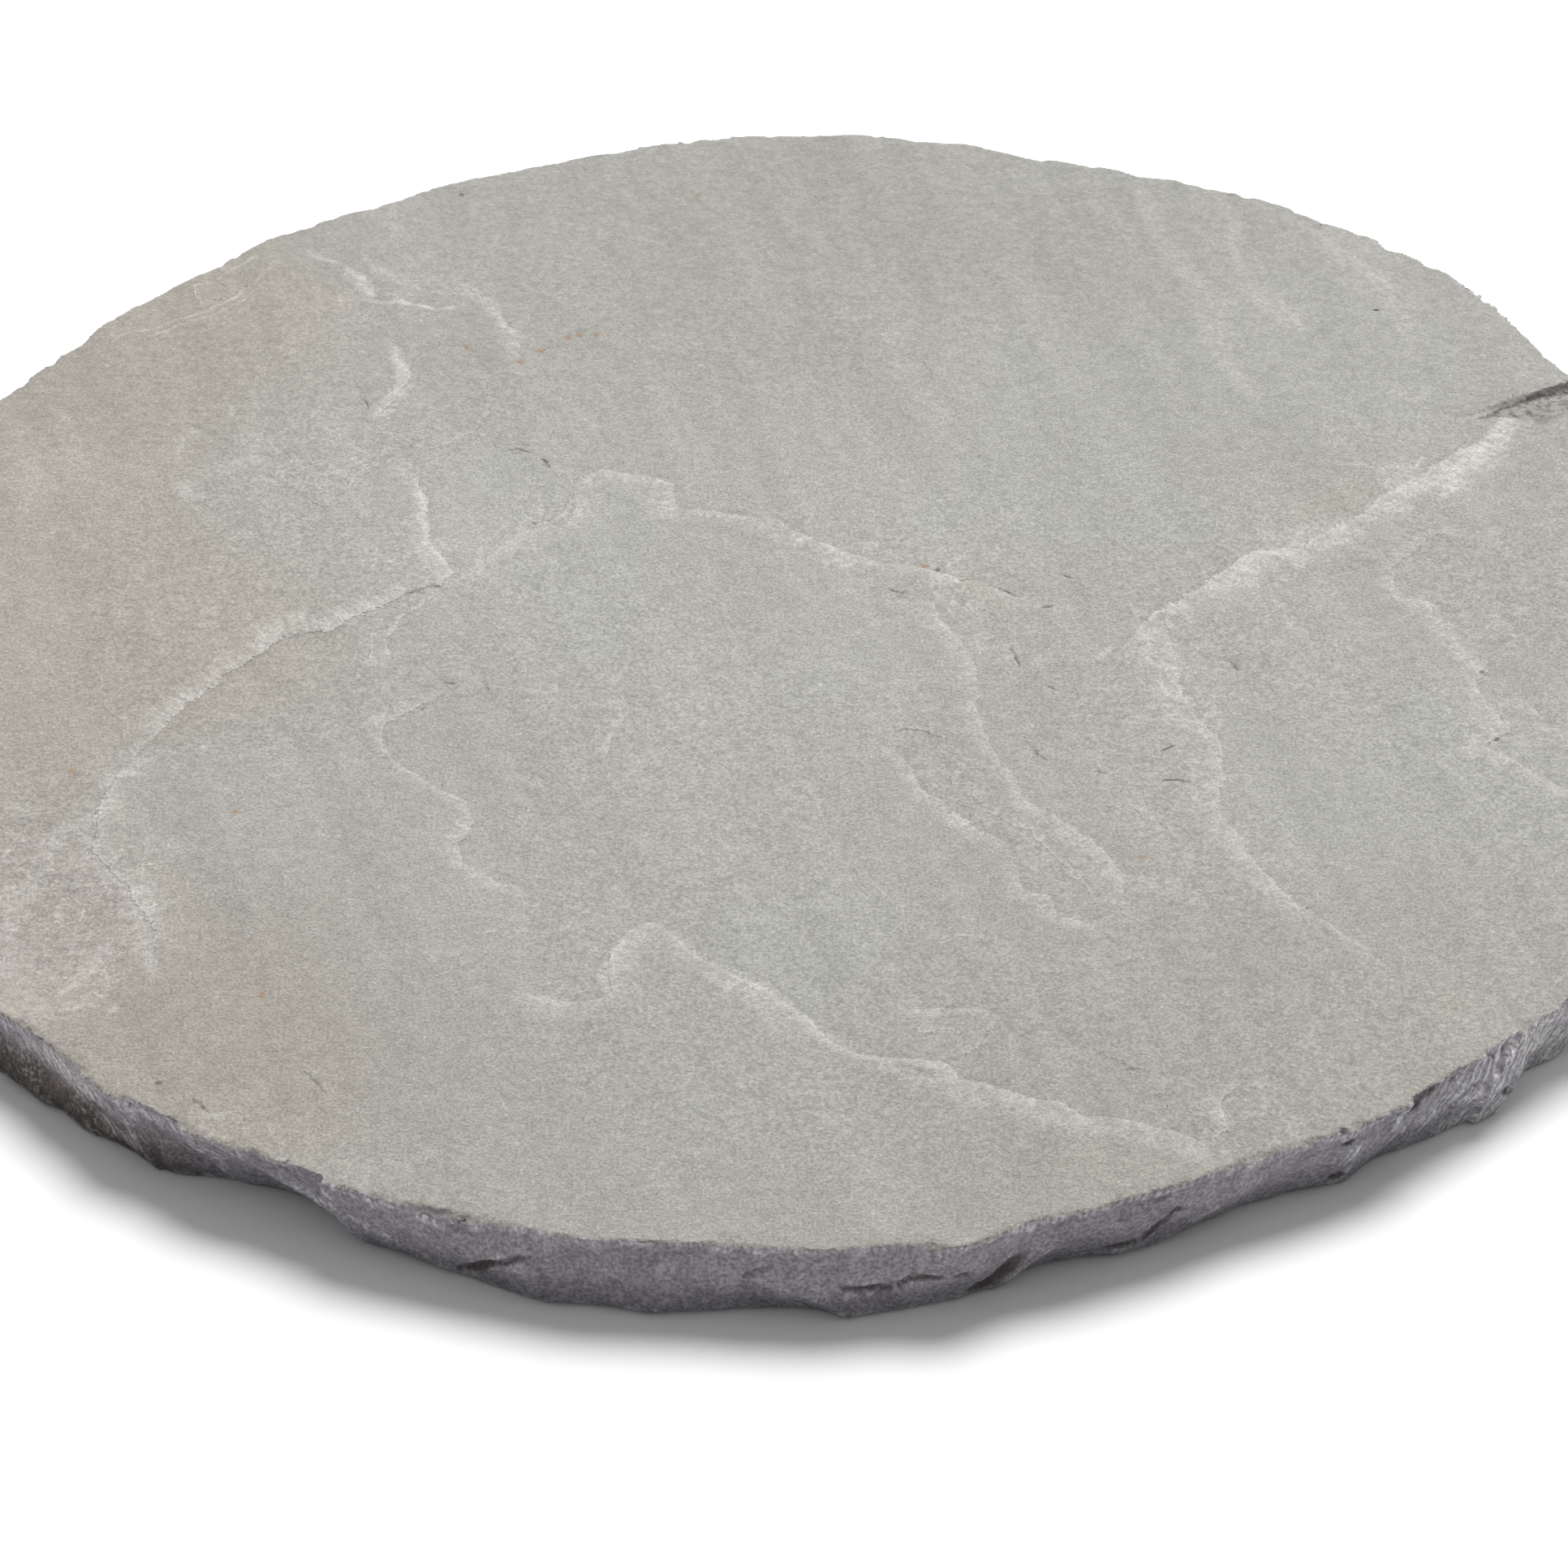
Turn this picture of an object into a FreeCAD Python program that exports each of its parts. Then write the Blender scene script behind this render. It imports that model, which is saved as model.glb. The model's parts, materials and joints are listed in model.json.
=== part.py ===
import FreeCAD, Part
import math
import os

# Round garden stepping stone: one piece of riven sandstone, dressed to a circle by hand.
# It lies flat on its calibrated underside. X runs to the right, the front is -Y, Z is up.
# Bearings are in degrees, anticlockwise from +X, so the front of the rim is at -90.

DIAMETER = 450.0          # size across the finished stone
THICKNESS = 22.0          # calibrated thickness
BLANK_ALLOWANCE = 9.0     # stone left outside the finished circle, to be dressed off
PLAN_DIAMETER = 450.0     # size across at which the riven lines below are measured
CUT_REACH = DIAMETER / 8  # how far each cutter runs on past the stone

# Dressed flats round the rim, one for each line of chisel blows:
# bearing, top edge outside (+) or inside (-) the finished circle, lean under at the foot.
FLATS = [
    (-151.0, 4.0, 6.0),
    (-138.0, 3.0, 7.0),
    (-126.0, 3.0, 12.0),
    (-117.0, 1.5, 16.0),
    (-106.0, 1.0, -5.0),
    (-95.0, -0.5, 4.0),
    (-83.0, -0.5, -1.0),
    (-74.0, -4.0, 8.0),
    (-64.0, -7.0, 12.0),
    (-54.0, -5.5, 14.0),
    (-46.0, -6.5, -1.0),
    (-37.0, -3.5, 15.0),
    (-25.0, -2.0, 7.0),
    (-12.0, 0.0, 12.0),
    (2.0, -1.0, 5.0),
    (15.0, 0.5, 9.0),
    (31.0, -2.0, 6.0),
    (44.0, 2.2, 12.0),
    (55.0, 3.2, 4.0),
    (64.5, 1.8, 10.0),
    (72.0, -0.8, 7.0),
    (81.0, 0.8, 13.0),
    (91.0, 0.8, 5.0),
    (100.0, -0.2, 9.0),
    (110.0, -3.5, 12.0),
    (122.0, -3.5, 6.0),
    (134.0, -4.5, 10.0),
    (146.0, -3.8, 8.0),
    (158.0, -2.0, 5.0),
    (171.0, 0.0, 13.0),
    (184.0, 1.0, 6.0),
    (197.0, 3.0, 10.0),
]

# Flake scars, each a hollow flute that leans along the rim and runs under at the foot:
# bearing, slant of its top along the rim, lean under, bite at the foot, radius of the flute.
SCARS = [
    (-131.0, -35.0, 14.0, 6.0, 24.0),
    (-120.5, -40.0, 34.0, 14.0, 36.0),
    (-93.0, -20.0, 28.0, 7.5, 44.0),
    (-79.5, 50.0, 6.0, 4.0, 9.0),
    (-75.0, 35.0, 24.0, 9.0, 22.0),
    (-63.0, 40.0, 26.0, 8.5, 60.0),
    (-53.0, 35.0, 22.0, 8.0, 26.0),
    (-41.5, 35.0, 12.0, 6.0, 18.0),
    (-34.0, 40.0, 20.0, 9.0, 34.0),
    (-19.0, 30.0, 22.0, 8.0, 40.0),
    (-4.0, -35.0, 16.0, 7.0, 28.0),
    (11.0, 40.0, 26.0, 9.0, 48.0),
    (24.0, -30.0, 18.0, 8.0, 30.0),
    (38.0, 35.0, 24.0, 9.0, 40.0),
    (51.0, -40.0, 14.0, 6.0, 24.0),
    (63.0, 30.0, 28.0, 9.0, 44.0),
    (78.0, -35.0, 20.0, 8.0, 34.0),
    (90.0, 40.0, 16.0, 6.5, 26.0),
    (105.0, -30.0, 26.0, 9.0, 42.0),
    (119.0, 35.0, 18.0, 7.0, 30.0),
    (130.0, -40.0, 14.0, 6.0, 24.0),
    (147.0, 30.0, 24.0, 8.0, 40.0),
    (162.0, -35.0, 22.0, 9.0, 36.0),
    (176.0, 40.0, 16.0, 7.0, 28.0),
    (193.0, -30.0, 24.0, 8.0, 44.0),
    (207.0, 35.0, 14.0, 6.0, 26.0),
]

# Broad scoop where the upper layers broke away at the left of the rim.
SCOOP_BEARING = -149.0
SCOOP_REACH = 218.0      # centre of the scoop from the middle of the stone
SCOOP_HALF_WIDTH = 40.0
SCOOP_DEPTH = 4.5

# Riven steps in the walking face, where a thin layer split off along a ragged lip. Each lost
# layer is a shallow dish, kept to the left of its lip as the points run. The dish fades out at
# both ends of the lip. Points are across and back from the middle of the stone.
FRONT_STEP_DEPTH = 1.6
FRONT_STEP_LIP = [
    (-62, -122), (-55, -139), (-44, -130), (-38, -112), (-26, -116),
    (0, -142), (10, -156), (45, -177), (108, -206),
]
LEFT_STEP_DEPTH = 2.0
LEFT_STEP_LIP = [
    (-104, 190), (-100, 140), (-101, 100), (-95, 62), (-86, 28),
    (-104, 12), (-124, -2), (-142, -30), (-172, -84),
]
INNER_STEP_DEPTH = 1.2
INNER_STEP_LIP = [(-80, -14), (-98, -34), (-92, -50), (-79, -60), (-77, -82), (-58, -104)]
BACK_STEP_DEPTH = 1.6
BACK_STEP_LIP = [
    (-82, 22), (-72, 42), (-57, 52), (-53, 68), (-34, 70), (-28, 55), (0, 42), (30, 29), (60, 16), (98, 10),
]
BAND_STEP_DEPTH = 1.8
BAND_STEP_LIP = [(98, 10), (103, 28), (118, 40), (140, 58), (156, 72), (174, 96), (212, 122)]
MIDDLE_STEP_DEPTH = 1.0
MIDDLE_STEP_LIP = [(20, -42), (26, -58), (48, -84), (51, -98), (74, -114)]
LONG_STEP_DEPTH = 1.1
LONG_STEP_LIP = [(33, 20), (38, -10), (41, -42), (62, -78), (70, -92), (90, -98)]
RIGHT_STEP_DEPTH = 1.2
RIGHT_STEP_LIP = [(85, 6), (92, -35), (100, -75), (120, -110), (138, -140)]
OUTER_STEP_DEPTH = 1.3
OUTER_STEP_LIP = [(160, 44), (143, 36), (142, 24), (153, 2), (165, -36), (180, -62), (210, -86)]

# Spalled notch that opens at the right of the rim, under a steep lip.
NOTCH_START = (161, 95)  # where it starts in the walking face
NOTCH_DEPTH = 2.2        # depth of its foot where it starts
NOTCH_BEARING = 25.0     # along the lip, towards the rim
NOTCH_DIP = 3.0          # fall of its floor towards the rim
NOTCH_RISE = 20.0        # rise of its floor towards the front


def unit(bearing):
    angle = math.radians(bearing)
    return FreeCAD.Vector(math.cos(angle), math.sin(angle), 0)


def rim_radius(bearing):
    """Distance from the middle to the dressed flats along a bearing."""
    nearest = DIAMETER
    for flat_bearing, offset, lean in FLATS:
        turn = math.cos(math.radians(bearing - flat_bearing))
        if turn > 0:
            nearest = min(nearest, (DIAMETER / 2 + offset) / turn)
    return nearest


def flat_cutter(bearing, offset, lean):
    """Block whose inner face dresses one flat, leaning under towards the foot."""
    width = DIAMETER
    block = Part.makeBox(CUT_REACH, width, THICKNESS + 2 * CUT_REACH)
    block.translate(FreeCAD.Vector(0, -width / 2, -THICKNESS - CUT_REACH))
    block.rotate(FreeCAD.Vector(), FreeCAD.Vector(0, 1, 0), lean)
    block.rotate(FreeCAD.Vector(), FreeCAD.Vector(0, 0, 1), bearing)
    top_edge = unit(bearing) * (DIAMETER / 2 + offset)
    block.translate(top_edge + FreeCAD.Vector(0, 0, THICKNESS))
    return block


def scar_cutter(bearing, slant, lean, bite, radius):
    """Leaning flute whose deepest line passes a bite inside the rim at the foot."""
    length = 2 * CUT_REACH + THICKNESS
    flute = Part.makeCylinder(radius, 2 * length, FreeCAD.Vector(radius, 0, -length))
    flute.rotate(FreeCAD.Vector(), FreeCAD.Vector(1, 0, 0), -slant)
    flute.rotate(FreeCAD.Vector(), FreeCAD.Vector(0, 1, 0), lean)
    flute.rotate(FreeCAD.Vector(), FreeCAD.Vector(0, 0, 1), bearing)
    flute.translate(unit(bearing) * (rim_radius(bearing) - bite))
    return flute


def scoop_cutter():
    """Large ball that lowers the walking face towards the rim."""
    radius = (SCOOP_HALF_WIDTH ** 2 + SCOOP_DEPTH ** 2) / (2 * SCOOP_DEPTH)
    middle = unit(SCOOP_BEARING) * SCOOP_REACH * (DIAMETER / PLAN_DIAMETER)
    return Part.makeSphere(radius, middle + FreeCAD.Vector(0, 0, THICKNESS - SCOOP_DEPTH + radius))


def step_cutter(depth, lip):
    """Shallow dish through the two ends of a lip, kept on the left of the lip."""
    scale = DIAMETER / PLAN_DIAMETER
    outline = [FreeCAD.Vector(x * scale, y * scale, THICKNESS - depth) for x, y in lip]
    chord = outline[-1] - outline[0]
    half_chord = chord.Length / 2
    left = FreeCAD.Vector(-chord.y, chord.x, 0)
    outline += [outline[-1] + left, outline[0] + left, outline[0]]
    prism = Part.Face(Part.makePolygon(outline)).extrude(FreeCAD.Vector(0, 0, 2 * depth))
    radius = (half_chord ** 2 + depth ** 2) / (2 * depth)
    middle = outline[0] + chord / 2 + FreeCAD.Vector(0, 0, radius)
    return prism.common(Part.makeSphere(radius, middle))


def notch_cutter():
    """Block turned so that one edge is the foot of the notch's lip."""
    scale = DIAMETER / PLAN_DIAMETER
    block = Part.makeBox(2 * CUT_REACH, CUT_REACH, CUT_REACH)
    block.translate(FreeCAD.Vector(0, -CUT_REACH, 0))
    block.rotate(FreeCAD.Vector(), FreeCAD.Vector(1, 0, 0), -NOTCH_RISE)
    block.rotate(FreeCAD.Vector(), FreeCAD.Vector(0, 1, 0), NOTCH_DIP)
    block.rotate(FreeCAD.Vector(), FreeCAD.Vector(0, 0, 1), NOTCH_BEARING)
    foot = THICKNESS - NOTCH_DEPTH
    block.translate(FreeCAD.Vector(NOTCH_START[0] * scale, NOTCH_START[1] * scale, foot))
    return block


stone = Part.makeCylinder(DIAMETER / 2 + BLANK_ALLOWANCE, THICKNESS)
for bearing, offset, lean in FLATS:
    stone = stone.cut(flat_cutter(bearing, offset, lean))
for bearing, slant, lean, bite, radius in SCARS:
    stone = stone.cut(scar_cutter(bearing, slant, lean, bite, radius))
stone = stone.cut(scoop_cutter())

STEPS = [
    (FRONT_STEP_DEPTH, FRONT_STEP_LIP),
    (LEFT_STEP_DEPTH, LEFT_STEP_LIP),
    (INNER_STEP_DEPTH, INNER_STEP_LIP),
    (BACK_STEP_DEPTH, BACK_STEP_LIP),
    (BAND_STEP_DEPTH, BAND_STEP_LIP),
    (MIDDLE_STEP_DEPTH, MIDDLE_STEP_LIP),
    (LONG_STEP_DEPTH, LONG_STEP_LIP),
    (RIGHT_STEP_DEPTH, RIGHT_STEP_LIP),
    (OUTER_STEP_DEPTH, OUTER_STEP_LIP),
]
for depth, lip in STEPS:
    stone = stone.cut(step_cutter(depth, lip))
stone = stone.cut(notch_cutter())

# The middle of the finished stone stands over the origin, with the underside on Z = 0.
box = stone.optimalBoundingBox(False)
stone.translate(FreeCAD.Vector(-box.Center.x, -box.Center.y, -box.ZMin))

os.makedirs("parts", exist_ok=True)
stone.exportStep("parts/stepping_stone.step")
print("moved", box.Center, "top", box.ZMax)
print("stone", len(stone.Solids), "solid", "valid", stone.isValid(), "volume", round(stone.Volume))
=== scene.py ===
# %% [markdown]
# # A riven garden stepping stone
# The stone is one thick sheet of sandstone, split along its bedding and dressed to a circle with
# a hammer. The CAD model gives the true solid: outline, thickness, rim flats, flake scars and the
# main steps of the walking face. Here it is turned into a dense mesh that carries the ragged
# lips, the broken rim and the sandy grain.

# %% Load the frame
import itertools
import json
import math

import bpy
import numpy as np
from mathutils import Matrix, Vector

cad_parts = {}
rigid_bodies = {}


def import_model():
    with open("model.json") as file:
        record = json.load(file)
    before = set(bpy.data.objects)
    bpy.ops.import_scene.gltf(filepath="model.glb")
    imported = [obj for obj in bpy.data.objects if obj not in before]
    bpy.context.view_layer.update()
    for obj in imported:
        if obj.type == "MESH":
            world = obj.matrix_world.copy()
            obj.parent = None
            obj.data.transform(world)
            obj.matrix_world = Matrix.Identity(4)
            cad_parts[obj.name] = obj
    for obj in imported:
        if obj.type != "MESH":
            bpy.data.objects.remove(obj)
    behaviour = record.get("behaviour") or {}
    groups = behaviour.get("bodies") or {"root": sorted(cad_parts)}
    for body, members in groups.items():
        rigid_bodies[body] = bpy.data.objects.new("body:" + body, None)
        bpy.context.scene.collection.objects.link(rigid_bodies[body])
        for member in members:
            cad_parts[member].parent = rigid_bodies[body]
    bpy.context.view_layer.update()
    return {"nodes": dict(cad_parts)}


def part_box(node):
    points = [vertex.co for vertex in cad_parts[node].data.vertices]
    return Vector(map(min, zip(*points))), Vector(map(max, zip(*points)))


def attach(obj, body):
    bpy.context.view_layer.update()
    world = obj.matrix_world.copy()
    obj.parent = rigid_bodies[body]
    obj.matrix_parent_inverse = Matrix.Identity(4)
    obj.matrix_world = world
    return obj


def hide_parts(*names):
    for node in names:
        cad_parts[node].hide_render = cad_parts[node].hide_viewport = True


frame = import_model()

low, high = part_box("stepping_stone")
top_mm = high[2] * 1000
print("stone is", [round((b - a) * 1000, 1) for a, b in zip(low, high)], "mm")

# %% [markdown]
# ## Camera
# The photograph was taken with a long lens from in front and above, which keeps the near and
# far edges of the round stone nearly the same ellipse. The camera stands on a line through the aim
# point, so its angle and its distance can be changed one at a time.

# %% Camera
photo_pixels = 1932
view_elevation = math.radians(36.6)
view_distance = 1.8
lens_mm = 178.7
sensor_mm = 36.0
aim = Vector((-0.0032, -0.0588, high[2] - 0.0003))
towards_camera = Vector((0, -math.cos(view_elevation), math.sin(view_elevation)))

bpy.ops.object.select_all(action="DESELECT")
bpy.ops.object.camera_add(
    location=aim + towards_camera * view_distance,
    rotation=(math.pi / 2 - view_elevation, 0, 0),
)
camera = bpy.context.object
camera.data.lens = lens_mm
camera.data.sensor_width = sensor_mm
camera.data.clip_end = 100
bpy.context.scene.camera = camera
print("camera at", [round(v, 3) for v in camera.location])


# %% [markdown]
# ## From photograph to walking face
# The lips of the split layers were traced on the photograph. A ray through each traced pixel meets
# the mean plane of the riven walking face at the place on the stone that the pixel shows.

# %% Photograph to face
face_level = high[2] - 0.0010


def on_face(pixels):
    """Points of the walking face in millimetres, across and back, under pixels of the photograph."""
    pixels = np.array(pixels, float)
    focal = lens_mm / sensor_mm * photo_pixels
    across = (pixels[:, 0] - photo_pixels / 2) / focal
    down = (pixels[:, 1] - photo_pixels / 2) / focal
    sine, cosine = math.sin(view_elevation), math.cos(view_elevation)
    ray_y = cosine - down * sine
    ray_z = -sine - down * cosine
    eye = np.array(camera.location)
    reach = (face_level - eye[2]) / ray_z
    return np.stack([eye[0] + reach * across, eye[1] + reach * ray_y], axis=1) * 1000


print("photo centre on the face:", on_face([(966, 966)]).round(1))

# %% [markdown]
# ## Lips of the riven face
# Sandstone splits in thin sheets, and each sheet that broke away left a ragged lip. Every lip is
# listed with the lower side on its left, its depth, how wide its crumbled slope is and how pale
# the broken slope looks.

# %% Lips
front_lip = [
    (642, 1225), (671, 1227), (697, 1238), (722, 1236), (747, 1225), (749, 1198), (754, 1179), (773, 1149),
    (805, 1137), (824, 1149), (856, 1174), (894, 1196), (939, 1217), (980, 1244), (1003, 1262),
    (1028, 1285),
    (1057, 1300), (1098, 1305), (1162, 1310), (1187, 1326), (1229, 1342), (1305, 1358), (1337, 1373),
    (1401, 1383), (1458, 1396), (1496, 1421), (1540, 1440),
]
left_lip = [
    (503, 578), (515, 588), (518, 600), (526, 614), (528, 640), (530, 668), (545, 685),
    (557, 706), (546, 722),
    (522, 728), (501, 733), (485, 743), (441, 759), (400, 779), (350, 785), (300, 820),
    (230, 870), (171, 928),
]
tooth_lip = [
    (486, 424), (493, 436), (498, 450), (506, 462), (503, 474), (494, 487), (483, 500),
    (468, 511), (457, 524),
]
crown_lip = [
    (624, 513), (606, 505), (592, 521), (586, 534), (572, 538), (556, 543), (540, 553),
    (512, 551), (497, 543),
    (484, 536), (465, 534), (457, 525),
]
notched_lip = [(547, 724), (531, 740), (494, 761), (478, 786), (482, 815)]
inner_lip = [
    (568, 842), (530, 864), (509, 873), (470, 891), (468, 905), (477, 923), (496, 942),
    (523, 958), (555, 976),
    (578, 984), (589, 1011), (567, 1038), (569, 1059), (590, 1075), (617, 1086), (650, 1102), (673, 1114),
]
hook_lip = [(774, 877), (755, 907), (748, 932)]
back_lip = [
    (591, 711), (588, 694), (607, 678), (634, 662), (662, 646), (696, 628), (712, 591),
    (740, 578), (770, 580),
    (830, 595), (838, 622), (900, 634), (960, 642), (1040, 680), (1086, 691), (1142, 699), (1193, 714),
    (1229, 724), (1259, 736), (1300, 742),
]
band_lip = [
    (1382, 800), (1400, 775), (1428, 750), (1500, 705), (1540, 677), (1605, 672), (1668, 634), (1726, 594),
    (1790, 558), (1826, 540), (1846, 512),
]
long_lip = [
    (1147, 737), (1155, 762), (1183, 785), (1201, 819), (1208, 870), (1219, 913), (1240, 947), (1268, 987),
    (1301, 1003), (1321, 1023), (1346, 1037), (1369, 1054), (1380, 1074), (1425, 1082), (1467, 1093),
]
middle_lip = [
    (1085, 916), (1116, 935), (1127, 953), (1139, 975), (1172, 996), (1206, 1020), (1240, 1037),
    (1254, 1071),
    (1262, 1096), (1293, 1102), (1304, 1127), (1341, 1141), (1363, 1158),
]
right_lip = [
    (1425, 752), (1434, 764), (1451, 811), (1458, 848), (1481, 886), (1512, 930), (1500, 985), (1540, 1050),
    (1600, 1110), (1680, 1165), (1740, 1220),
]
outer_lip = [
    (1821, 672), (1780, 658), (1753, 672), (1726, 692), (1716, 716), (1729, 733), (1760, 743), (1790, 781),
    (1807, 808), (1834, 825), (1817, 842), (1841, 872), (1865, 896), (1829, 920), (1872, 937), (1902, 957),
    (1932, 970), (1990, 1010),
]
tongue_lip = [
    (1101, 1233), (1111, 1243), (1177, 1244), (1203, 1241), (1232, 1252), (1222, 1275),
    (1197, 1297), (1165, 1306),
]
dark_lip = [
    (1420, 1378), (1434, 1367), (1429, 1351), (1433, 1329), (1413, 1319), (1388, 1316), (1356, 1300),
    (1343, 1287), (1321, 1279), (1311, 1265),
]
edge_lip = [(1528, 1338), (1503, 1361), (1516, 1386), (1493, 1418)]
far_lip = [
    (132, 424), (160, 411), (190, 406), (215, 396), (240, 387), (258, 380), (280, 372),
    (298, 360), (312, 348),
    (322, 336), (330, 328), (342, 322),
]
far_low_lip = [(172, 418), (200, 410), (228, 399), (255, 390), (285, 378), (305, 366), (318, 352)]
far_inner_lip = [
    (246, 380), (240, 366), (236, 354), (262, 345), (284, 333), (300, 324), (308, 316), (318, 322),
]
corner_lip = [
    (376, 305), (386, 315), (404, 321), (424, 327), (437, 335), (452, 341), (453, 348),
    (460, 354), (464, 368),
    (480, 371), (495, 367), (510, 374), (530, 378), (548, 380), (562, 377),
]
corner_back_lip = [(448, 310), (452, 322), (470, 334), (488, 340), (497, 338)]
corner_tail_lip = [(506, 462), (510, 448), (524, 436), (540, 428), (546, 418), (540, 410)]
corner_low_lip = [(560, 349), (585, 362), (605, 375), (617, 388), (630, 405), (642, 422), (640, 440)]
ring_lip = [
    (480, 540), (476, 558), (465, 572), (440, 585), (437, 596), (425, 610), (405, 611),
    (386, 601), (365, 592),
    (345, 582),
]
inner_ring_lip = [(469, 536), (467, 550), (455, 565), (435, 577), (415, 588), (385, 591)]
pocket_lip = [(662, 647), (690, 646), (704, 638), (710, 610), (708, 594), (690, 584)]
shard_lip = [(1242, 785), (1250, 808), (1257, 822), (1290, 805), (1300, 790)]
beige_lip = [(1875, 845), (1875, 859), (1889, 872), (1906, 894), (1945, 896)]

scoop_lip = [
    (191, 1175), (185, 1137), (166, 1108), (145, 1078), (112, 1041), (118, 998), (147, 952),
    (171, 928),
]

# points, depth mm, slope width mm, paleness
lips = [
    (front_lip, 1.3, 9.0, 0.75),
    (left_lip, 1.5, 9.5, 0.9),
    (tooth_lip, 0.8, 8.0, 0.8),
    (crown_lip, 0.3, 2.2, 0.7),
    (notched_lip, 0.5, 4.0, 0.7),
    (inner_lip, 0.9, 7.0, 0.75),
    (hook_lip, 0.35, 6.0, 0.6),
    (back_lip, 1.0, 9.0, 0.6),
    (band_lip, 1.6, 16.0, 0.9),
    (long_lip, 0.7, 9.0, 0.6),
    (middle_lip, 0.7, 7.0, 0.7),
    (right_lip, 0.9, 10.0, 0.6),
    (outer_lip, 0.9, 8.0, 0.65),
    (tongue_lip, 0.4, 6.0, 0.7),
    (dark_lip, 0.5, 2.0, 0.15),
    (edge_lip, 0.45, 6.0, 0.75),
    (far_lip, 0.5, 2.6, 0.9),
    (far_low_lip, 0.3, 2.2, 0.7),
    (far_inner_lip, 0.3, 2.4, 0.8),
    (corner_lip, 0.5, 4.5, 0.8),
    (corner_back_lip, 0.3, 3.0, 0.6),
    (corner_tail_lip, 0.3, 2.2, 0.5),
    (corner_low_lip, 0.5, 6.0, 0.65),
    (ring_lip, 0.25, 1.6, 0.75),
    (inner_ring_lip, 0.2, 1.4, 0.6),
    (pocket_lip, 0.4, 7.0, 0.5),
    (shard_lip, 0.3, 4.0, 0.5),
    (beige_lip, 0.4, 5.0, 0.5),
    (scoop_lip, 0.8, 12.0, 0.8),
]
print(len(lips), "lips,", sum(len(lip[0]) for lip in lips), "traced points")


# %% [markdown]
# ## Noise and smooth steps
# Broken stone is rough at every size. This noise mixes random values on a grid of the wanted size,
# with soft joins, and repeats exactly on each run because its grid is seeded.

# %% Noise
def smoothstep(start, end, value):
    share = np.clip((value - start) / (end - start), 0, 1)
    return share * share * (3 - 2 * share)


def rough(points, size, seed):
    """Noise from -1 to 1 with bumps about size across, at points in the same unit."""
    cells = 48
    table = np.random.default_rng(seed).uniform(-1, 1, (cells, cells, cells))
    place = points / size
    corner = np.floor(place).astype(int)
    share = place - corner
    share = share * share * (3 - 2 * share)
    total = np.zeros(len(points))
    for step in itertools.product((0, 1), repeat=3):
        weight = np.prod(np.where(step, share, 1 - share), axis=1)
        index = (corner + step) % cells
        total += weight * table[index[:, 0], index[:, 1], index[:, 2]]
    return total


def across_lip(x, y, line):
    """Distance to a traced line in mm, negative on its left, and the share of its length passed."""
    best = np.full(len(x), 1e9)
    side = np.zeros(len(x))
    passed = np.zeros(len(x))
    lengths = np.hypot(*np.diff(line, axis=0).T)
    starts = np.concatenate([[0], np.cumsum(lengths)])
    for (ax, ay), (bx, by), length, start in zip(line[:-1], line[1:], lengths, starts):
        ux, uy = (bx - ax) / length, (by - ay) / length
        along = (x - ax) * ux + (y - ay) * uy
        left = (y - ay) * ux - (x - ax) * uy
        clamped = np.clip(along, 0, length)
        distance = np.hypot(along - clamped, left)
        tie = np.abs(distance - best) < 1e-6
        nearer = (distance < best) & ~tie
        stronger = tie & (np.abs(left) > np.abs(side))
        best = np.where(nearer, distance, best)
        side = np.where(nearer | stronger, left, side)
        passed = np.where(nearer, (start + clamped) / starts[-1], passed)
    return np.where(side > 0, -best, best), passed


# %% [markdown]
# ## Relief of the walking face
# Each lip says only how steeply the face rises across it. All these slopes are added up on a fine
# grid, and the one surface that fits them best is found with a Fourier transform, so the layers run
# into each other without false creases.

# %% Distance from each lip
def near_lips(x, y):
    """For each lip, the points near it, their distance in slope widths, fading and place along it in mm."""
    flat = np.stack([x, y, np.zeros(len(x))], axis=1)
    wander_x = 0.7 * rough(flat, 7.0, 1) + 0.6 * rough(flat, 2.6, 2)
    wander_y = 0.7 * rough(flat, 7.0, 3) + 0.6 * rough(flat, 2.6, 4)
    breadth = 0.8 + 0.5 * rough(flat, 17.0, 5)
    for pixels, depth, width, paleness in lips:
        line = on_face(pixels)
        margin = 2.5 * width + 4
        (left, front), (right, back) = line.min(axis=0) - margin, line.max(axis=0) + margin
        near = np.flatnonzero((x > left) & (x < right) & (y > front) & (y < back))
        distance, passed = across_lip(x[near] + wander_x[near], y[near] + wander_y[near], line)
        ends = smoothstep(0, 0.12, passed) * smoothstep(0, 0.12, 1 - passed)
        along = passed * np.hypot(*np.diff(line, axis=0).T).sum()
        yield near, distance / (width * breadth[near]), ends, along, (depth, width, paleness)


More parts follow.
